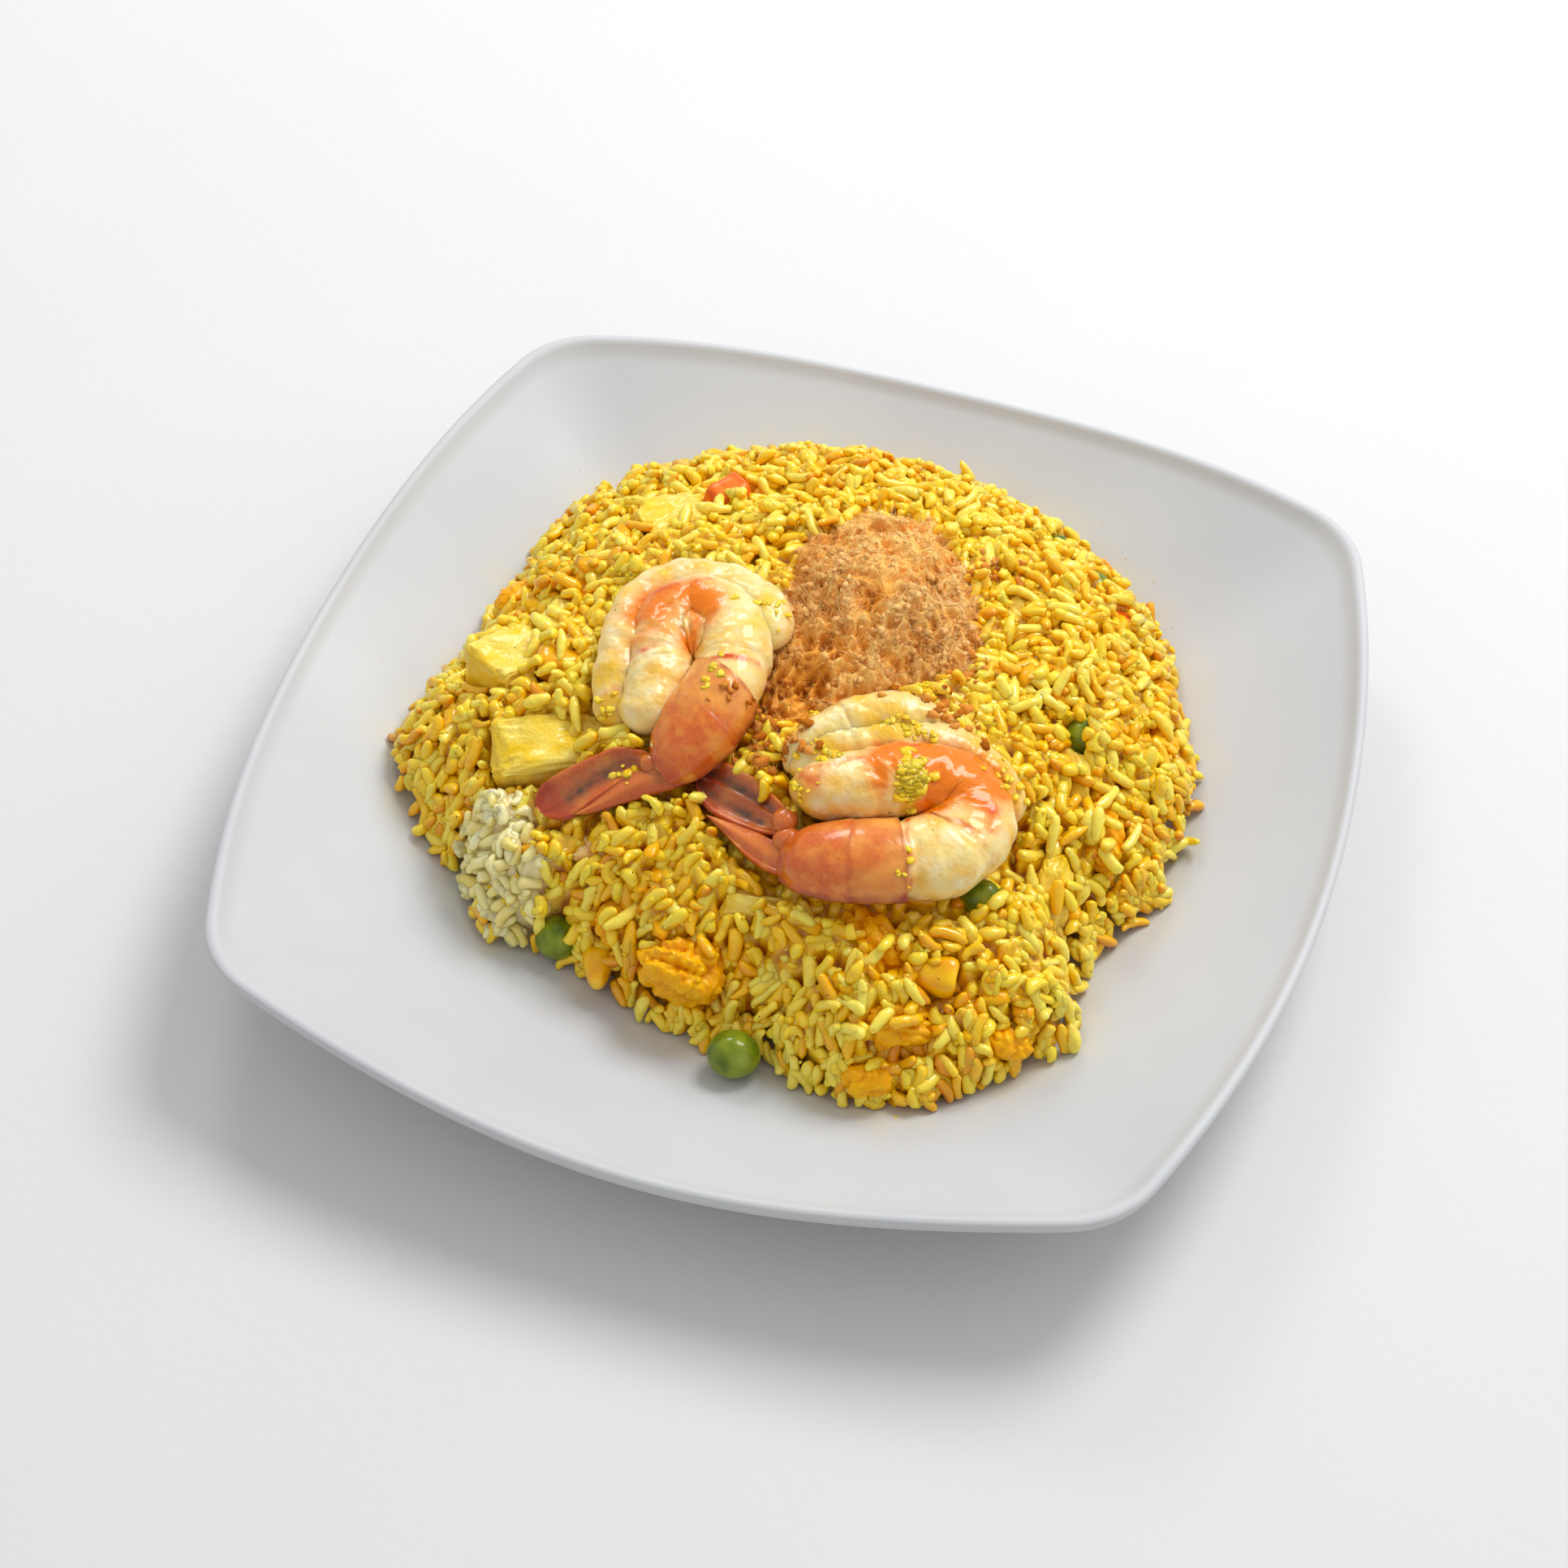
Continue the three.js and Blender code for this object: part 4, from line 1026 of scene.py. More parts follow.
def shell(rows, start, slant, finish, seed):
    """Shell over the last segments: a tube proud of the flesh, with a slanting front and a sharp keel."""
    table = limb(rows)
    part, turn = grid(90)
    along = start + slant * np.cos(np.radians(turn)) * (1 - part) + (finish - start) * part
    signed = (turn + 180) % 360 - 180
    keel = 0.10 * bell(signed, UNDER_EDGE, 9)
    lap = 0.028 * step(part, 0.39, 0.43) * (1 - step(part, 0.43, 0.8))
    swell = 1.045 + 0.025 * step(part, 0, 0.3) - 0.12 * step(part, 0.8, 1) + keel + lap
    rings, out = carried(table, along, turn, swell, 0, 0)
    rings = rings + out * (0.15 * noise(rings, 5, seed) + 0.05 * noise(rings, 1.4, seed))[..., None]
    edge = bell(signed, UNDER_EDGE, 11) * (0.75 + 0.25 * noise(rings, 2, seed))
    ragged = 0.02 * noise(rings, 2.5, seed + 7)
    flattened = rings * np.array([1, 1, 2])
    red = 0.95 * edge + 0.5 * bell(part + ragged, 0.01, 0.025) + 0.35 * bell(part + ragged, 0.42, 0.02)
    red = red + 0.55 * bell(part, 1, 0.07) + 0.25 * rough(flattened, 2.2, seed + 8, 3)
    # Paler towards the front and along one side: the shell's own paler tone, and a painted sheen
    pale = np.clip(1 - part * 1.5 + 0.7 * noise(flattened, 4, seed + 1), 0, 1) * 0.8
    pale = pale + 0.3 * bell(signed, 160, 50) * (1 - part)
    pink = 0.3 + 0.4 * noise(rings, 6, seed)
    # dark is painted shade along the lower edge, over the edge's own red
    return rings, {"red": np.clip(red, 0, 1), "dark": 0.5 * edge ** 2, "pink": pink, "pale": pale}


def blade(rows, thick, ribs, dish, blunt, seed):
    """Tail blade: a leaf between two edges, thicker along its ribs, hollowed between them, with fine ridges.

    Each rib has its place across from -1 to 1, its spread and its height. Returned with the rings are the
    shares along and across, for colour."""
    rows = np.array(rows, float)
    edges = []
    for k in (0, 2):
        place = rows[:, [k, k + 1, 4]]
        place[:, 2] += heap_top(place[:, 0], place[:, 1])
        edges.append(spline(place, 90)[:, None])
    s, turn = grid(90)
    turn = np.radians(turn)
    middle = (edges[0] + edges[1]) / 2
    half = (edges[0] - edges[1]) / 2
    ends = np.sqrt(np.clip(1 - (1 - np.clip((1 - s) / blunt, 0, 1)) ** 2.2, 0.003, 1))
    ends = ends * np.sqrt(np.clip(1 - (1 - np.clip(s / 0.05, 0, 1)) ** 2, 0.02, 1))
    t = np.cos(turn)
    ahead = np.gradient(middle[:, 0], axis=0)
    up = np.cross(half[:, 0], ahead)
    up /= np.linalg.norm(up, axis=1, keepdims=True)
    up *= np.sign(up[:, 2:])
    rise = sum(high * bell(t, place, spread) for place, spread, high in ribs)
    uneven = rough(middle + half * t[..., None], 2, seed, 2)
    body = (0.5 + rise + 0.05 * np.sin(t * 40) + 0.06 * uneven) * thick / 2
    body = body * np.minimum(ends * 1.3, 1)
    lift = np.sin(turn) / np.maximum(np.abs(np.sin(turn)), 0.4) * body
    sag = -dish * (1 - t ** 2) * ends
    rings = middle + half * (t * ends)[..., None] + up[:, None] * (lift + sag)[..., None]
    return rings, s, t


def knob(at, size, seed):
    """A small uneven ball of shell at a joint: place in plan and lift above the heap, and half sizes."""
    unit = ball(AROUND, 18)
    middle = middle_of(at[:2], -at[2])
    return unit * np.array(size) * (1 + 0.12 * noise(unit + seed, 0.9, seed))[..., None] + middle


def shelled(name, node, parts):
    """One piece of shell parts, each a stack of rings with its colour values."""
    surfaces = [skin(rings[None]) for rings, _ in parts]
    fields = {}
    for key in parts[0][1]:
        grids = [np.clip(values[key] + 0 * rings[..., 0], 0, 1) for rings, values in parts]
        fields[key] = np.concatenate([ring_values(spread[None], AROUND) for spread in grids])
    toppings.extend((surface, 0) for surface in surfaces)
    make_piece(name, surfaces, shell_finish, "cooked_shrimp", [node], **fields)


def fleshy(name, node, parts, pivot, tables, seed):
    """One piece of flesh parts, coloured by patches in plan."""
    surfaces = [skin(rings[None]) for rings in parts]
    values = [flesh_fields(rings, pivot, *tables, seed) for rings in parts]
    fields = {}
    for key in values[0]:
        fields[key] = np.concatenate([ring_values(part[key][None], AROUND) for part in values])
    toppings.extend((surface, 0) for surface in surfaces)
    make_piece(name, surfaces, flesh_finish, "cooked_shrimp", [node], **fields)


def wider(rows, more, across=1.0):
    """Rows of a limb with every half width grown, so that it closes up to its neighbour."""
    return [(x, y, lift, wide * across + more, high) for x, y, lift, wide, high in rows]


def build_left_shrimp():
    """Left shrimp: curled flesh, the flap of its split back, a bridge between them, a shell and a tail."""
    pivot = (-24, -4)
    grooves = [(0.25, 0.03), (0.4, 0.03), (0.52, 0.04), (0.66, 0.06)]
    body = flesh(LEFT_FLESH, 300, grooves, pivot, 11, 0.05, bare=0.8)
    grooves = [(0.28, 0.04), (0.55, 0.05), (0.8, 0.06)]
    flap = flesh(wider(LEFT_FLAP, 2.4), 200, grooves, pivot, 12, 0.08, 0.08, 0.15)
    bridge = flesh(LEFT_BRIDGE, 120, [], pivot, 14, 0.3, 0.3, 0.35)
    tables = (LEFT_ORANGE, LEFT_RED, LEFT_STAIN)
    fleshy("shrimp_left_flesh", "shrimp_left", [body, flap, bridge], pivot, tables, 21)
    cover = shell(LEFT_FLESH, 0.715, 0.025, 0.985, 13)
    ribs = [(0.78, 0.2, 0.9), (-0.1, 0.07, 0.5), (-0.85, 0.12, 0.5)]
    upper, s, t = blade(LEFT_BLADE_UPPER, 1.7, ribs, 0.9, 0.16, 14)
    tip = step(s, 0.7, 0.86)
    web = bell(t, -0.05, 0.5) * step(s, 0.08, 0.2) * (1 - tip)
    upper_fields = {
        "red": 0.85 * tip + 0.35 * bell(t, 1, 0.3) + 0.5 * bell(t, -1, 0.12),
        "dark": web * (0.8 + 0.3 * noise(upper, 1.5, 3)),
        "pink": 0.7,
        "pale": 0.0,
    }
    lower, _, t = blade(LEFT_BLADE_LOWER, 2.4, [(0.0, 0.5, 0.6)], -0.5, 0.1, 15)
    lower_fields = {
        "red": 0.25 + 0.5 * bell(t, -1, 0.2),
        "dark": 0.0,
        "pink": 0.75,
        "pale": 0.3 * bell(t, 0.2, 0.5),
    }
    joint = knob((-24.0, -28.4, 5.4), (3.0, 2.3, 1.9), 2)
    spine = knob((-21.5, -30.6, 5.0), (3.2, 2.2, 2.2), 5)
    plain = {"red": 0.3, "dark": 0.0, "pink": 0.5, "pale": 0.2}
    parts = [cover, (upper, upper_fields), (lower, lower_fields), (joint, plain), (spine, plain)]
    shelled("shrimp_left_shell", "shrimp_left", parts)


def build_right_shrimp():
    """Right shrimp: curled flesh, a flap in front and one behind where its back is split, shell and tail."""
    pivot = (29, -24)
    grooves = [(0.2, 0.03), (0.34, 0.03), (0.46, 0.03), (0.585, 0.06), (0.7, 0.07)]
    body = flesh(RIGHT_FLESH, 320, grooves, pivot, 31, 0.07, bare=0.8)
    grooves = [(0.25, 0.05), (0.5, 0.03), (0.75, 0.05)]
    flap = flesh(wider(RIGHT_FLAP, 1.6), 200, grooves, pivot, 32, 0.08, 0.1, 0.15)
    back = flesh(RIGHT_BACK, 160, [(0.42, 0.07), (0.72, 0.05)], pivot, 33, 0.12, 0.15, 0.15)
    tables = (RIGHT_ORANGE, RIGHT_RED, RIGHT_STAIN)
    fleshy("shrimp_right_flesh", "shrimp_right", [body, flap, back], pivot, tables, 41)
    cover = shell(RIGHT_FLESH, 0.715, 0.0, 0.985, 34)
    ribs = [(0.85, 0.16, 0.9), (0.06, 0.07, 0.7), (-0.85, 0.12, 0.5)]
    upper, s, t = blade(RIGHT_BLADE_UPPER, 1.7, ribs, 0.9, 0.2, 35)
    web = np.clip(bell(t, 0.36, 0.24) + bell(t, -0.42, 0.32), 0, 1) * step(s, 0.12, 0.28)
    upper_fields = {
        "red": 0.3 * bell(t, 0.06, 0.1) + 0.9 * step(s, 0.6, 0.85) + 0.5 * bell(t, -1, 0.15),
        # Dark over the tip is painted shadow; dark elsewhere on this blade is its webs
        "dark": web * (0.8 + 0.3 * noise(upper, 1.5, 4)) + 0.3 * step(s, 0.75, 1),
        "pink": 0.8,
        "pale": 0.5 * bell(t, 0.85, 0.12),
    }
    lower, s, t = blade(RIGHT_BLADE_LOWER, 2.2, [(0.0, 0.5, 0.5), (-0.8, 0.1, 0.4)], -0.4, 0.1, 36)
    lower_fields = {
        "red": 0.15 + 0.5 * bell(t, -1, 0.12) + 0.4 * step(s, 0.8, 1),
        "dark": 0.0,
        "pink": 0.8,
        "pale": 0.35 * bell(t, 0.3, 0.5),
    }
    joint = knob((6.6, -33.6, 5.0), (2.6, 3.2, 2.2), 3)
    spine = knob((8.4, -37.2, 4.6), (3.2, 2.8, 2.4), 6)
    plain = {"red": 0.2, "dark": 0.0, "pink": 0.6, "pale": 0.2}
    parts = [cover, (upper, upper_fields), (lower, lower_fields), (joint, plain), (spine, plain)]
    shelled("shrimp_right_shell", "shrimp_right", parts)


def build_curds():
    """Turmeric mush that clings to the shrimps: small flat balls pressed on at random about a few places."""
    random = np.random.default_rng(3)
    over = highest(toppings)
    rows = np.array([row[:4] for row in MUSH_SPOTS for _ in range(row[4])])
    x = rows[:, 0] + rows[:, 2] * random.standard_normal(len(rows))
    y = rows[:, 1] + rows[:, 3] * random.standard_normal(len(rows))
    size = random.uniform(0.5, 1.7, len(rows)) * np.where(rows[:, 0] == MUSH_SPOTS[0][0], 1, 0.6)
    rings = crumb_rings(x, y, height_at(over, x, y) - 0.15 * size, size, random, (1.3, 1.0, 0.4))
    rings = rings[height_at(over, x, y) > 10]
    tint = ring_values(random.uniform(0.3, 1, (len(rings), CRUMB_RINGS)), CRUMB_AROUND)
    look = cooked_rice("turmeric_mush", "#FFDC3C", "#FFCA18", "#F6B408", 0.6)
    shrimps = ["shrimp_left", "shrimp_right"]
    make_piece("turmeric_curds", [skin(rings)], look, "curry_rice", shrimps, tint=tint)


flesh_finish = shrimp_flesh()
shell_finish = shrimp_shell()
first_part = len(toppings)
build_left_shrimp()
build_right_shrimp()
shrimp_parts = len(toppings) - first_part


# Rice

# Heights are kept on a grid over the plan: its cell, its low corner, its cells along X and Y, and no height
CELL = 0.4
FIELD_LOW = np.array([-96.0, -90.0])
FIELD_SIZE = (450, 480)
NOWHERE = -9.0
grid_x = (FIELD_LOW[0] + CELL * (np.arange(FIELD_SIZE[0]) + 0.5))[:, None] + np.zeros(FIELD_SIZE)
grid_y = (FIELD_LOW[1] + CELL * (np.arange(FIELD_SIZE[1]) + 0.5))[None, :] + np.zeros(FIELD_SIZE)


def highest(surfaces, covered=False):
    """Highest point of some surfaces over each cell of the plan, less the depth that rice may cover."""
    high = np.full(FIELD_SIZE, NOWHERE)
    for (points, quads, _), cover in surfaces:
        spots = np.concatenate([points, points[quads].mean(axis=1)])
        cells = np.floor((spots[:, :2] - FIELD_LOW) / CELL).astype(int)
        inside = np.all((cells >= 0) & (cells < np.array(FIELD_SIZE)), axis=1)
        np.maximum.at(high, (cells[inside, 0], cells[inside, 1]), spots[inside, 2] - cover * covered)
    spread = high.copy()
    for dx, dy in ((1, 0), (-1, 0), (0, 1), (0, -1)):
        spread = np.maximum(spread, np.roll(high, (dx, dy), (0, 1)))
    return spread


def settle(surface, target, allowed, limit, random, way, lowest=0.3, sink=1.1):
    """Lays grains one at a time where the heap is lowest, each at the turn in which it rests deepest.

    A grain is cut across into eight slices. It rests on the highest support on each side of its middle, as a
    beam does, then leans and sinks a little, and the surface is raised to its back.
    Each grain is a row: place, turn, lean, length and width."""
    placed = []
    free = allowed.copy()
    reach = 13
    nearest = 10
    tries = 80
    slices = 8
    half_way = slices // 2
    offsets = np.arange(-reach, reach + 1)
    ox, oy = np.meshgrid(offsets * CELL, offsets * CELL, indexing="ij")
    shake = 0.45 * random.standard_normal(surface.shape)
    middles = (np.arange(slices) - 3.5) / half_way
    while len(placed) < limit:
        lack = np.where(free, target - surface + shake, NOWHERE).ravel()
        order = np.argpartition(lack, -tries)[-tries:]
        order = order[np.argsort(-lack[order])]
        if lack[order[0]] < lowest:
            break
        taken = []
        for spot in order:
            i, j = divmod(int(spot), surface.shape[1])
            if not (reach < i < surface.shape[0] - reach - 1 and reach < j < surface.shape[1] - reach - 1):
                free[i, j] = False
                continue
            if any(abs(i - a) < nearest and abs(j - b) < nearest for a, b in taken) or lack[spot] < lowest:
                continue
            taken.append((i, j))
            length = random.choice(GRAIN_LENGTHS) * random.uniform(0.93, 1.07)
            width = random.uniform(2.3, 2.95)
            ground = surface[i - reach:i + reach + 1, j - reach:j + reach + 1]
            best = None
            for yaw in way[i, j] + random.uniform(-1.5, 1.5, 4):
                c, s = math.cos(yaw), math.sin(yaw)
                along = (ox * c + oy * s) / (length / 2)
                across = (oy * c - ox * s) / (width / 2)
                inside = 1 - along ** 2 * np.abs(along) - across ** 2
                under = inside > 0.2
                half = np.sqrt(np.maximum(inside, 0)) * width * 0.46
                push = np.where(under, ground + 0.6 * half, -99)
                bins = np.clip(((along + 1) * half_way).astype(int), 0, slices - 1)
                peaks = np.full(slices, -99.0)
                np.maximum.at(peaks, bins[under], push[under])
                place = middles * (length / 2)
                tail, head = place[:half_way, None], place[None, half_way:]
                level = (peaks[None, half_way:] * -tail + peaks[:half_way, None] * head) / (head - tail)
                a, b = divmod(int(np.argmax(level)), half_way)
                tilt = (peaks[half_way + b] - peaks[a]) / (place[half_way + b] - place[a])
                if best is None or level[a, b] < best[0]:
                    best = (level[a, b], yaw, tilt, along * (length / 2), half, inside > 0.03, push)
            height, yaw, tilt, run, half, under, push = best
            tilt = max(-0.9, min(0.9, tilt + 0.22 * random.standard_normal()))
            height = max(height, float((push - run * tilt).max())) - sink
            if height > target[i, j] + 2.4:
                free[i, j] = False
                continue
            roof = np.where(under, height + run * tilt + half, -99)
            np.maximum(ground, roof, out=ground)
            x = grid_x[i, j] + random.uniform(-0.3, 0.3)
            y = grid_y[i, j] + random.uniform(-0.3, 0.3)
            placed.append((x, y, height, yaw, math.atan(tilt), length, width))
            shake[i, j] -= 0.3
        if not taken:
            break
    return np.array(placed)


def grain_rings(grains, random, blunt):
    """Grains as bent plump spindles: six rings of points each, tipped, turned and set in place."""
    n = len(grains)
    x, y, z, yaw, pitch, length, width = grains.T
    t = np.array([-0.97, -0.8, -0.32, 0.32, 0.8, 0.97])[None, :, None]
    turn = (np.arange(GRAIN_AROUND) * 2 * math.pi / GRAIN_AROUND)[None, None, :]
    power = np.where(blunt, 5.0, 2.8)[:, None, None]
    fat = np.maximum(1 - np.abs(t) ** power, 0.03) ** 0.5
    uneven = 1 + 0.12 * random.standard_normal((n, 6, 1))
    uneven = uneven + 0.07 * random.standard_normal((n, 6, GRAIN_AROUND))
    thin = random.uniform(0.78, 1.0, n)[:, None, None]
    across = np.cos(turn) * fat * uneven * width[:, None, None] / 2
    high = np.sin(turn) * fat * uneven * width[:, None, None] / 2 * thin
    bend = random.normal(0, 0.7, n)[:, None, None]
    droop = random.normal(0, 0.35, n)[:, None, None]
    across = across + bend * (t ** 2 - 0.3)
    high = high + droop * (t ** 2 - 0.3)
    run = t * (length / 2)[:, None, None] + 0 * turn
    cp, sp = np.cos(pitch)[:, None, None], np.sin(pitch)[:, None, None]
    cy, sy = np.cos(yaw)[:, None, None], np.sin(yaw)[:, None, None]
    level = run * cp - high * sp
    up = run * sp + high * cp
    px = level * cy - across * sy + x[:, None, None]
    py = level * sy + across * cy + y[:, None, None]
    return np.stack([px, py, up + z[:, None, None]], -1)


def crumb_rings(x, y, z, size, random, stretch=(1.35, 1.0, 0.75)):
    """Crumbs: small balls of a few points, each point moved in or out at random."""
    n = len(x)
    uneven = 1 + 0.28 * random.standard_normal((n, CRUMB_RINGS, CRUMB_AROUND))
    unit = ball(CRUMB_AROUND, CRUMB_RINGS)[None] * uneven[..., None]
    body = unit * size[:, None, None, None] * np.array(stretch)
    spin = random.uniform(0, math.pi, n)[:, None, None]
    bx = body[..., 0] * np.cos(spin) - body[..., 1] * np.sin(spin)
    by = body[..., 0] * np.sin(spin) + body[..., 1] * np.cos(spin)
    return np.stack([bx, by, body[..., 2]], -1) + np.stack([x, y, z], -1)[:, None, None]


def crumb_values(values):
    """One value for each crumb, spread over its points."""
    return ring_values(np.repeat(values[:, None], CRUMB_RINGS, axis=1), CRUMB_AROUND)


def smoothed(values, times):
    """Heights averaged with their neighbours, a number of times."""
    for _ in range(times):
        for axis in (0, 1):
            values = (2 * values + np.roll(values, 1, axis) + np.roll(values, -1, axis)) / 4
    return values


def height_at(values, x, y):
    """Height of the field over a point, blended from the four nearest cells."""
    i = np.clip((x - FIELD_LOW[0]) / CELL - 0.5, 0, FIELD_SIZE[0] - 1.001)
    j = np.clip((y - FIELD_LOW[1]) / CELL - 0.5, 0, FIELD_SIZE[1] - 1.001)
    a, b = i.astype(int), j.astype(int)
    u, v = i - a, j - b
    low = values[a, b] * (1 - v) + values[a, b + 1] * v
    return low * (1 - u) + (values[a + 1, b] * (1 - v) + values[a + 1, b + 1] * v) * u


def rice_target():
    """Height that the rice is heaped to: the dome with clumps, crevices, whiter lumps and dips."""
    target = heap_top(grid_x, grid_y) - 1.2
    target = target + 2.8 * flat_noise(grid_x, grid_y, 16, 5) + 2.2 * flat_noise(grid_x, grid_y, 7.5, 6)
    crevice = bell(flat_noise(grid_x, grid_y, 12, 16), 0, 0.09)
    crevice = crevice * step(flat_noise(grid_x, grid_y, 15, 17), -0.1, 0.3)
    target = target + 0.7 - 3.2 * crevice
    for cx, cy, radius in WHITE_RICE:
        away = np.hypot(grid_x - cx, grid_y - cy) / (radius * 1.2)
        target = target + 0.6 * radius * np.sqrt(np.maximum(1 - away ** 2, 0))
    for cx, cy in (PINEAPPLE[0][0], PINEAPPLE[2][0], PINEAPPLE[3][0], CARROT[0][0]):
        target = target - 2.2 * bell(np.hypot(grid_x - cx, grid_y - cy), 0, 9)
    return target


def build_sticky_rice(surface):
    """The skin under the loose grains: an inner disc and an outer ring, both closed, that follow the grains.

    Each has its points around, its first and last share of the way out, and its rings."""
    finish = sticky_rice()
    soft = smoothed(surface, 2)
    broad = smoothed(surface, 14)
    for name, around, low, high, rings in (("inner", 500, 0.01, 0.61, 100), ("outer", 1000, 0.61, 0.985, 84)):
        angle = np.linspace(0, 2 * math.pi, around, endpoint=False)[None, :]
        share = np.linspace(low, high, rings)
        share = np.concatenate([share[:1], share, share[-1:]])[:, None]
        upper = np.full(len(share), True)
        upper[-1] = False
        upper[0] = name == "inner"
        edge = 1 - 0.03 * (1 + np.sin(9 * angle + 2 * np.sin(4 * angle))) * step(share, 0.6, 0.95)
        reach = share * heap_radius((angle + math.pi) % (2 * math.pi) - math.pi) * edge
        x = HEAP_CENTRE[0] + reach * np.cos(angle)
        y = HEAP_CENTRE[1] + reach * np.sin(angle)
        bottom = plate_top(x, y) + SEAT_GAP * 0.4 + (0.5 if name == "inner" else 0)
        fall = 1.2 * step(share, 0.9, 0.985)
        pale = sum(1.6 * bell(np.hypot(x - cx, y - cy), 0, radius * 1.05) for cx, cy, radius in WHITE_RICE)
        pale = np.minimum(pale, 1)
        relief = 0.28 * flat_noise(x, y, 1.4, 4) + 0.45 * flat_noise(x, y, 3.6, 14)
        relief = relief + 0.7 * pale * np.abs(flat_noise(x, y, 2.4, 15))
        top = np.maximum(height_at(soft, x, y) - 0.25 - fall + relief - 0.5 * pale, bottom + 0.3)
        points = np.stack([x, y, np.where(upper[:, None], top, bottom)], -1)[None]
        # Painted shade: the tint falls where the skin lies below its broad average
        sunk = height_at(soft, x, y) - height_at(broad, x, y)
        hollow_shade = np.clip(0.68 + 0.6 * sunk, 0, 1)
        make_piece(f"rice_core_{name}", [skin(points)], finish, "curry_rice", ["rice"],
                   tint=ring_values(hollow_shade[None], 0), white=ring_values(pale[None], 0))


def slope_grains(surface, allowed, count, random, lengths):
    """Grains pressed on the steep sides: each lies along the slope, half sunk in it."""
    soft = smoothed(surface, 3)
    down_x, down_y = np.gradient(soft, CELL)
    steep = np.hypot(down_x, down_y)
    chance = np.clip(steep - 0.35, 0, 1.5) * allowed
    pick = random.choice(chance.size, count, p=(chance / chance.sum()).ravel())
    pick = np.unravel_index(pick, chance.shape)
    yaw = random.uniform(0, math.pi, count)
    rise = down_x[pick] * np.cos(yaw) + down_y[pick] * np.sin(yaw)
    length = random.choice(lengths, count) * random.uniform(0.9, 1.05, count)
    width = random.uniform(2.2, 2.8, count)
    out = 0.22 * width / np.sqrt(1 + steep[pick] ** 2)
    x = grid_x[pick] - down_x[pick] * out + random.uniform(-0.2, 0.2, count)
    y = grid_y[pick] - down_y[pick] * out + random.uniform(-0.2, 0.2, count)
    lean = np.arctan(rise)
    clear = 0.45 * width + 0.42 * length * np.abs(np.sin(lean))
    height = np.maximum(soft[pick] + out, plate_top(x, y) + clear)
    return np.stack([x, y, height, yaw, lean, length, width], -1)


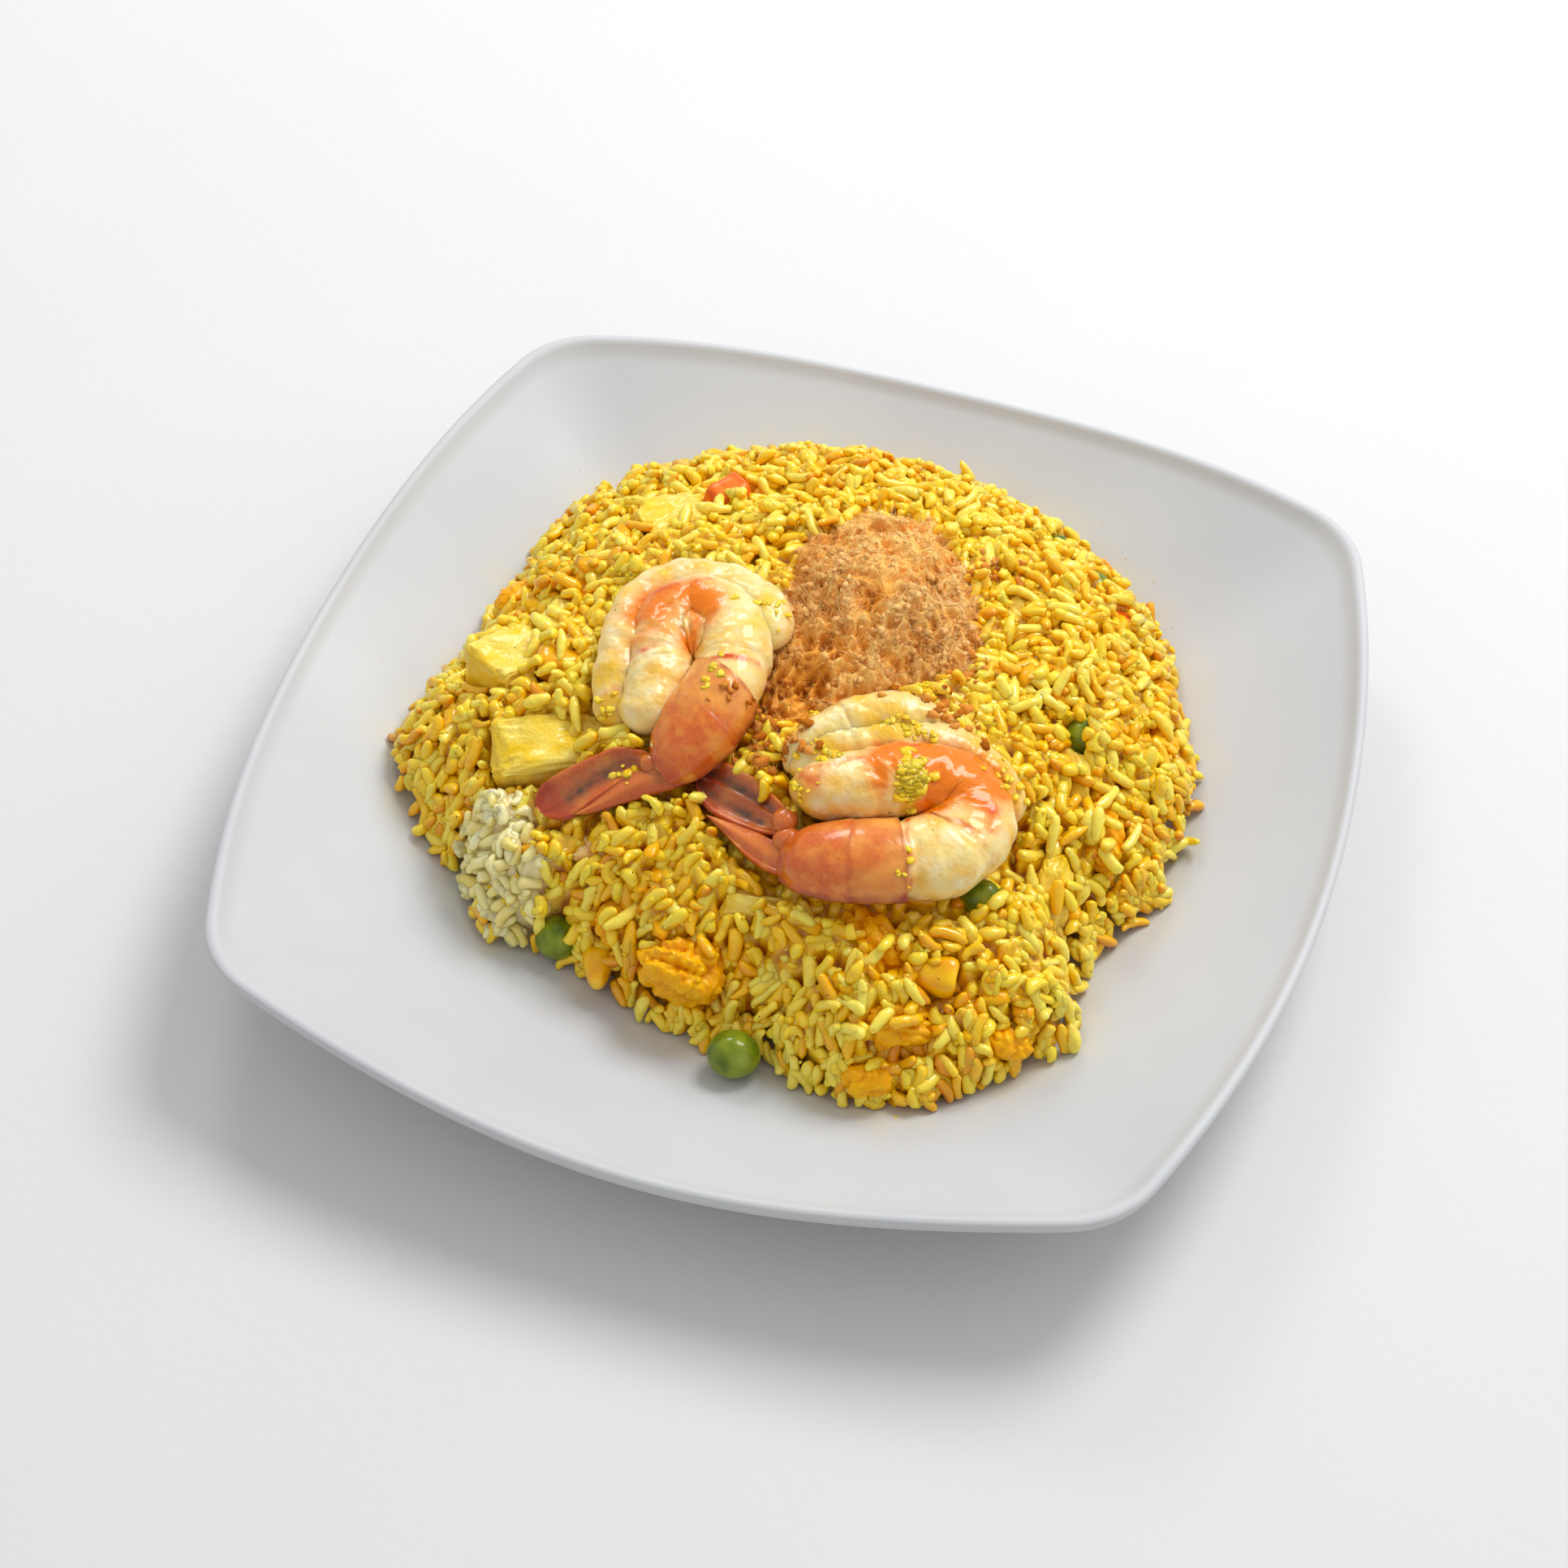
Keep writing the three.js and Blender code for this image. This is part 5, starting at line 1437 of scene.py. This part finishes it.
def build_rice():
    """Rice in layers: grains stuck together over a skin, loose ones round the toppings, and a few on top.

    More are pressed on the sides and at the foot. The pieces sort the grains by place, length and tint."""
    random = np.random.default_rng(7)
    inside = share_of(grid_x, grid_y, HEAP_CENTRE, heap_radius)
    ragged = inside + 0.035 * flat_noise(grid_x, grid_y, 11, 8) + 0.03 * flat_noise(grid_x, grid_y, 5, 9)
    allowed = ragged < 1.0
    target = rice_target()
    way = 3.1 * flat_noise(grid_x, grid_y, 20, 7)
    floor = plate_top(grid_x, grid_y)
    surface = np.where(allowed, np.maximum(target - 3.6 - 4 * step(inside, 0.82, 1.0), floor), floor)
    first = settle(surface, target - 1.0, allowed, STUCK_GRAINS, random, way)

    over = highest(toppings)
    masked = highest(toppings, True)
    stuck = surface
    surface = np.maximum(surface, over)
    before = surface.copy()
    floss = share_of(grid_x, grid_y, FLOSS_CENTRE, floss_radius) < 0.9
    bare = (masked > target - 0.2) | floss
    second = settle(surface, target + 0.6, allowed & ~bare, LOOSE_GRAINS, random, way, sink=0.9)
    stuck = np.where(surface > before + 0.01, surface, stuck)
    build_sticky_rice(stuck)
    seafood = highest(toppings[-shrimp_parts:]) > target
    few = allowed & ~floss & ~seafood & (masked < target + 5) & (random.random(bare.shape) < 0.012)
    high = np.where(bare, surface + 1.5, target + 2.4)
    third = settle(surface, high, few, TOPMOST_GRAINS, random, way, lowest=0.2, sink=0.7)
    first = first[height_at(stuck, first[:, 0], first[:, 1]) < first[:, 2] + 2.6]
    open_side = allowed & ~floss & (over < stuck + 0.5)
    side = slope_grains(stuck, open_side, SIDE_GRAINS, random, GRAIN_LENGTHS[3:])
    at_foot = (ragged > 0.975) & (ragged < 1.04)
    foot = slope_grains(stuck, at_foot, FOOT_GRAINS, random, GRAIN_LENGTHS[2:])
    # Each layer's depth values, from its first grain to its last; the lower values paint shade into the tint
    layers = ((first, 0, 0.5), (second, 0.75, 1), (third, 1, 1), (side, 0.4, 1), (foot, 0.3, 0.9))
    grains = np.concatenate([layer for layer, _, _ in layers])
    depth = np.concatenate([np.linspace(low, top, len(layer)) for layer, low, top in layers])
    white = np.zeros(len(grains), bool)
    for cx, cy, radius in WHITE_RICE:
        white |= np.hypot(grains[:, 0] - cx, grains[:, 1] - cy) < radius * 1.15
    grains[white, 2] -= 0.1
    grains[white, 4] *= 0.5
    grains[white, 5] *= 0.85
    patch = flat_noise(grains[:, 0], grains[:, 1], 18, 12)
    # Tint is each grain's own depth of yellow, less painted shade on the lower layers and at the foot
    tint = np.clip(0.62 + 0.22 * random.standard_normal(len(grains)) + 0.2 * patch - 0.25 * (1 - depth), 0, 1)
    blunt = random.random(len(grains)) < 0.7
    short = grains[:, 5] < 6.1
    kinds = {
        "rice_grains_white": (white, ("#FBF0B4", "#F4E48E", "#EAD25A", 1.0)),
        "rice_grains_short": (~white & short, ("#FFE23C", "#FFCA0C", "#E89404", 1.0)),
        # Grains of low tint take the deeper colours: more turmeric, and painted shade on the lower layers
        "rice_grains_stained_and_shaded": (~white & ~short & (tint < 0.5), ("#FFD824", "#FBBC06", "#DE8602", 1.0)),
        "rice_grains_plain": (~white & ~short & (tint >= 0.5), ("#FFE85C", "#FFD014", "#EE9E04", 1.0)),
    }
    # Painted light and shade on each grain: paler over its top, deeper under it
    crown = 0.3 * np.sin(np.arange(GRAIN_AROUND) * 2 * math.pi / GRAIN_AROUND)[None, None, :] - 0.05
    for name, (chosen, look) in kinds.items():
        material = cooked_rice("cooked_" + name, *look)
        rows = np.flatnonzero(chosen)
        for number, start in enumerate(range(0, len(rows), GRAINS_PER_PIECE), 1):
            part = rows[start:start + GRAINS_PER_PIECE]
            rings = grain_rings(grains[part], random, blunt[part])
            values = np.clip(tint[part][:, None, None] + crown + 0 * rings[..., 0], 0, 1)
            make_piece(f"{name}_{number}", [skin(rings)], material, "curry_rice", ["rice"],
                       tint=ring_values(values, GRAIN_AROUND))
    build_crumbs(surface, allowed & ~bare, random)
    return surface


def build_crumbs(surface, bare_rice, random):
    """Broken rice all over the open heap, and crumbs of egg about the pieces of egg."""
    open_cells = np.flatnonzero(bare_rice)
    pick = open_cells[random.integers(0, len(open_cells), RICE_CRUMBS)]
    size = random.uniform(0.3, 0.65, len(pick))
    height = surface.ravel()[pick] - 0.35 * size
    rings = crumb_rings(grid_x.ravel()[pick], grid_y.ravel()[pick], height, size, random)
    look = cooked_rice("cooked_rice_crumbs", "#FFE040", "#FFCE10", "#F0AA04", 0.5)
    tint = crumb_values(random.uniform(0.2, 1, len(pick)))
    make_piece("rice_crumbs", [skin(rings)], look, "curry_rice", ["rice"], tint=tint)

    near = np.zeros(FIELD_SIZE)
    for at, _, _, _ in EGG:
        near = near + bell(np.hypot(grid_x - at[0], grid_y - at[1]), 0, 11)
    chance = (0.03 + near) * bare_rice
    pick = random.choice(chance.size, EGG_CRUMBS, p=(chance / chance.sum()).ravel())
    size = random.uniform(0.9, 2.1, len(pick))
    height = surface.ravel()[pick] - 0.5 * size
    rings = crumb_rings(grid_x.ravel()[pick], grid_y.ravel()[pick], height, size, random, (1.5, 1.1, 0.5))
    edge = crumb_values(random.uniform(0, 0.3, len(pick)))
    make_piece("egg_crumbs", [skin(rings)], egg_soft, "scrambled_egg", ["rice"], edge=edge)


rice_surface = build_rice()
build_curds()


# Meat floss

def lumpy(points):
    """Four reliefs of the floss, from broad swells to crumbs: lumps are folded noise, with sharp creases."""
    broad = 2.0 * noise(points, 13, 1)
    big = 1.4 - 3.4 * np.abs(noise(warped(points, 7, 1.5, 31), 8, 2))
    small = 0.9 - 2.6 * np.abs(noise(warped(points, 4, 1.2, 6), 3.2, 3))
    crumbs = 0.6 - 1.5 * np.abs(noise(points, 1.7, 8)) + 0.25 * noise(points, 0.8, 9)
    return broad, big, small, crumbs


def build_floss_core():
    """Felted mass of the floss: a lumpy dome, closed by a smooth underside set in the rice."""
    top_rings = 150
    angle = np.linspace(0, 2 * math.pi, 420, endpoint=False)[None, :]
    share = np.concatenate([np.sqrt(np.linspace(0.0006, 1.0, top_rings)), np.linspace(0.96, 0.1, 6)])[:, None]
    ragged = 1 + 0.05 * noise(np.stack([np.cos(angle) * 3, np.sin(angle) * 3, 0 * angle], -1), 0.6, 4)
    reach = share * ragged * floss_radius((angle + math.pi) % (2 * math.pi) - math.pi) * 0.98
    x = FLOSS_CENTRE[0] + reach * np.cos(angle)
    y = FLOSS_CENTRE[1] + reach * np.sin(angle)
    bottom = heap_top(x, y) - 4.0
    upper = (np.arange(len(share)) < top_rings)[:, None]
    smooth = np.stack([x, y, np.where(upper, floss_top(x, y) - 1.6, bottom)], -1)

    broad, big, small, fine = lumpy(smooth)
    lift = (broad + big + small + fine) * upper
    sway = np.stack([noise(smooth, 2.6, 21), noise(smooth, 2.6, 22), 0 * x], -1) * 0.9
    core = smooth + sway * upper[..., None]
    core[..., 2] += lift
    core[..., 2] = np.where(upper, np.maximum(core[..., 2], bottom + 0.5), core[..., 2])
    # Painted shade on the side away from the light, towards lower X and Y
    side = step(-(x - FLOSS_CENTRE[0]) - (y - FLOSS_CENTRE[1]) * 0.4, -4, 26)
    # Painted light and shade: the tint rises with the lumps' heights and falls in their hollows
    tint = np.clip(0.56 + 0.15 * big + 0.22 * small + 0.4 * fine - 0.3 * side, 0.02, 1)
    look = meat_floss("felted_floss", "#FFD07C", "#F8AC42", "#BC660E")
    values = ring_values(tint[None], 0)
    make_piece("floss_core", [skin(core[None])], look, "meat_floss", ["floss"], tint=values)
    return core[:top_rings].reshape(-1, 3), tint[:top_rings].ravel()


def build_floss_bits(top, core_light_and_shade, random):
    """Clumps on the floss, and others fallen beside it on the rice and shrimps; returns where those fell."""
    chosen = random.integers(3000, len(top), FLOSS_CLUMPS)
    size = random.uniform(0.25, 0.8, len(chosen))
    x, y, z = top[chosen].T
    clumps = crumb_rings(x, y, z + 0.1 * size, size, random, (1.3, 1.0, 0.9))
    trail = np.array(FLOSS_TRAILS)[random.integers(0, len(FLOSS_TRAILS), FALLEN_CLUMPS)]
    x = trail[:, 0] + trail[:, 2] * random.standard_normal(FALLEN_CLUMPS) * 0.6
    y = trail[:, 1] + trail[:, 3] * random.standard_normal(FALLEN_CLUMPS) * 0.6
    z = height_at(np.maximum(highest(toppings), rice_surface), x, y)
    size = random.uniform(0.35, 1.2, FALLEN_CLUMPS)
    fallen = crumb_rings(x, y, z + 0.1, size, random, (1.5, 1.0, 0.8))
    tint = np.concatenate([np.clip(core_light_and_shade[chosen] + 0.1, 0, 1), random.uniform(0, 0.5, FALLEN_CLUMPS)])
    look = meat_floss("floss_bits", "#FFC880", "#EE9C40", "#B4600E")
    bits = np.concatenate([clumps, fallen])
    make_piece("floss_clumps", [skin(bits)], look, "meat_floss", ["floss"], tint=crumb_values(tint))
    return np.stack([x, y, z], -1)


def build_floss():
    """Meat floss: a felted mass with clumps on and beside it, and fine fibres bent as parabolas."""
    random = np.random.default_rng(5)
    top, core_light_and_shade = build_floss_core()
    fallen = build_floss_bits(top, core_light_and_shade, random)
    look = meat_floss("floss_fibres", "#FFD488", "#FAB450", "#D4801C")
    count = FIBRES_PER_PIECE
    strays = 700
    for number in (1, 2):
        home = random.integers(600, len(top), count)
        base = top[home] + random.normal(0, 0.12, (count, 3))
        loose = random.random(count) < 0.1
        if number == 2:
            pick = random.integers(0, len(fallen), strays)
            base[:strays] = fallen[pick] + random.normal(0, 0.5, (strays, 3))
        way = random.standard_normal((count, 3)) + np.array([0, 0, 0.7])
        way /= np.linalg.norm(way, axis=1, keepdims=True)
        curl = random.standard_normal((count, 3))
        length = (random.uniform(0.7, 1.6, count) + 1.8 * loose)[:, None]
        t = np.array([0.0, 0.5, 1.0])
        spine = base[:, None] + way[:, None] * length[:, None] * t[None, :, None]
        spine = spine + curl[:, None] * (length * 0.35)[:, None] * (t ** 2)[None, :, None]
        flat = np.cross(way, curl)
        flat /= np.linalg.norm(flat, axis=1, keepdims=True)
        other = np.cross(way, flat)
        turn = np.arange(FIBRE_AROUND) * 2 * math.pi / FIBRE_AROUND
        thick = random.uniform(0.045, 0.075, count) * (1 + 0.6 * loose)
        thick = thick[:, None, None, None] * np.array([1, 0.8, 0.25])[None, :, None, None]
        cosine = np.cos(turn)[None, None, :, None]
        sine = np.sin(turn)[None, None, :, None]
        rings = spine[:, :, None] + thick * (cosine * flat[:, None, None] + sine * other[:, None, None])
        tint = np.clip(core_light_and_shade[home] + 0.15 * random.standard_normal(count) + 0.15, 0, 1)
        tint = ring_values(np.repeat(tint[:, None], len(t), axis=1), FIBRE_AROUND)
        make_piece(f"floss_fibres_{number}", [skin(rings)], look, "meat_floss", ["floss"], tint=tint)


build_floss()


# Studio

def soft_light(name, place, size, power):
    """A white disc of light, in metres and watts, that looks at the plate."""
    lamp = bpy.data.lights.new(name, "AREA")
    lamp.shape = "DISK"
    lamp.size = size
    lamp.energy = power
    holder = bpy.data.objects.new(name, lamp)
    holder.location = place
    holder.rotation_euler = (-Vector(place)).to_track_quat("-Z", "Y").to_euler()
    scene.collection.objects.link(holder)


def build_studio():
    """Pale table top, a key light from the right behind the plate, three weaker ones and an even surround."""
    mesh = bpy.data.meshes.new("table")
    wide = 3.0
    corners = [(-wide, -wide, 0), (wide, -wide, 0), (wide, wide, 0), (-wide, wide, 0)]
    mesh.from_pydata(corners, [], [(0, 1, 2, 3)])
    material, tree, place = new_material("matt_white_paper")
    colour = blended(tree, cloud(tree, place, 60), "#DEDEDE", "#E2E1E1")
    shade(tree, colour, (cloud(tree, place, 3), 0.08), Roughness=0.85)
    mesh.materials.append(material)
    table = bpy.data.objects.new("table", mesh)
    scene.collection.objects.link(table)

    soft_light("key", (0.34, 0.76, 1.0), 0.62, 10.5)
    soft_light("wide", (0.95, 0.7, 0.9), 1.4, 2.5)
    soft_light("spark", (-0.45, 0.7, 0.72), 0.3, 1.8)
    soft_light("front", (-0.7, -0.8, 0.75), 1.4, 0.8)
    world = bpy.data.worlds.new("white_room")
    world.use_nodes = True
    surround = world.node_tree.nodes["Background"].inputs
    surround["Color"].default_value = linear("#F8F8F8")
    surround["Strength"].default_value = 0.59
    scene.world = world
    scene.view_settings.view_transform = "Standard"


build_studio()
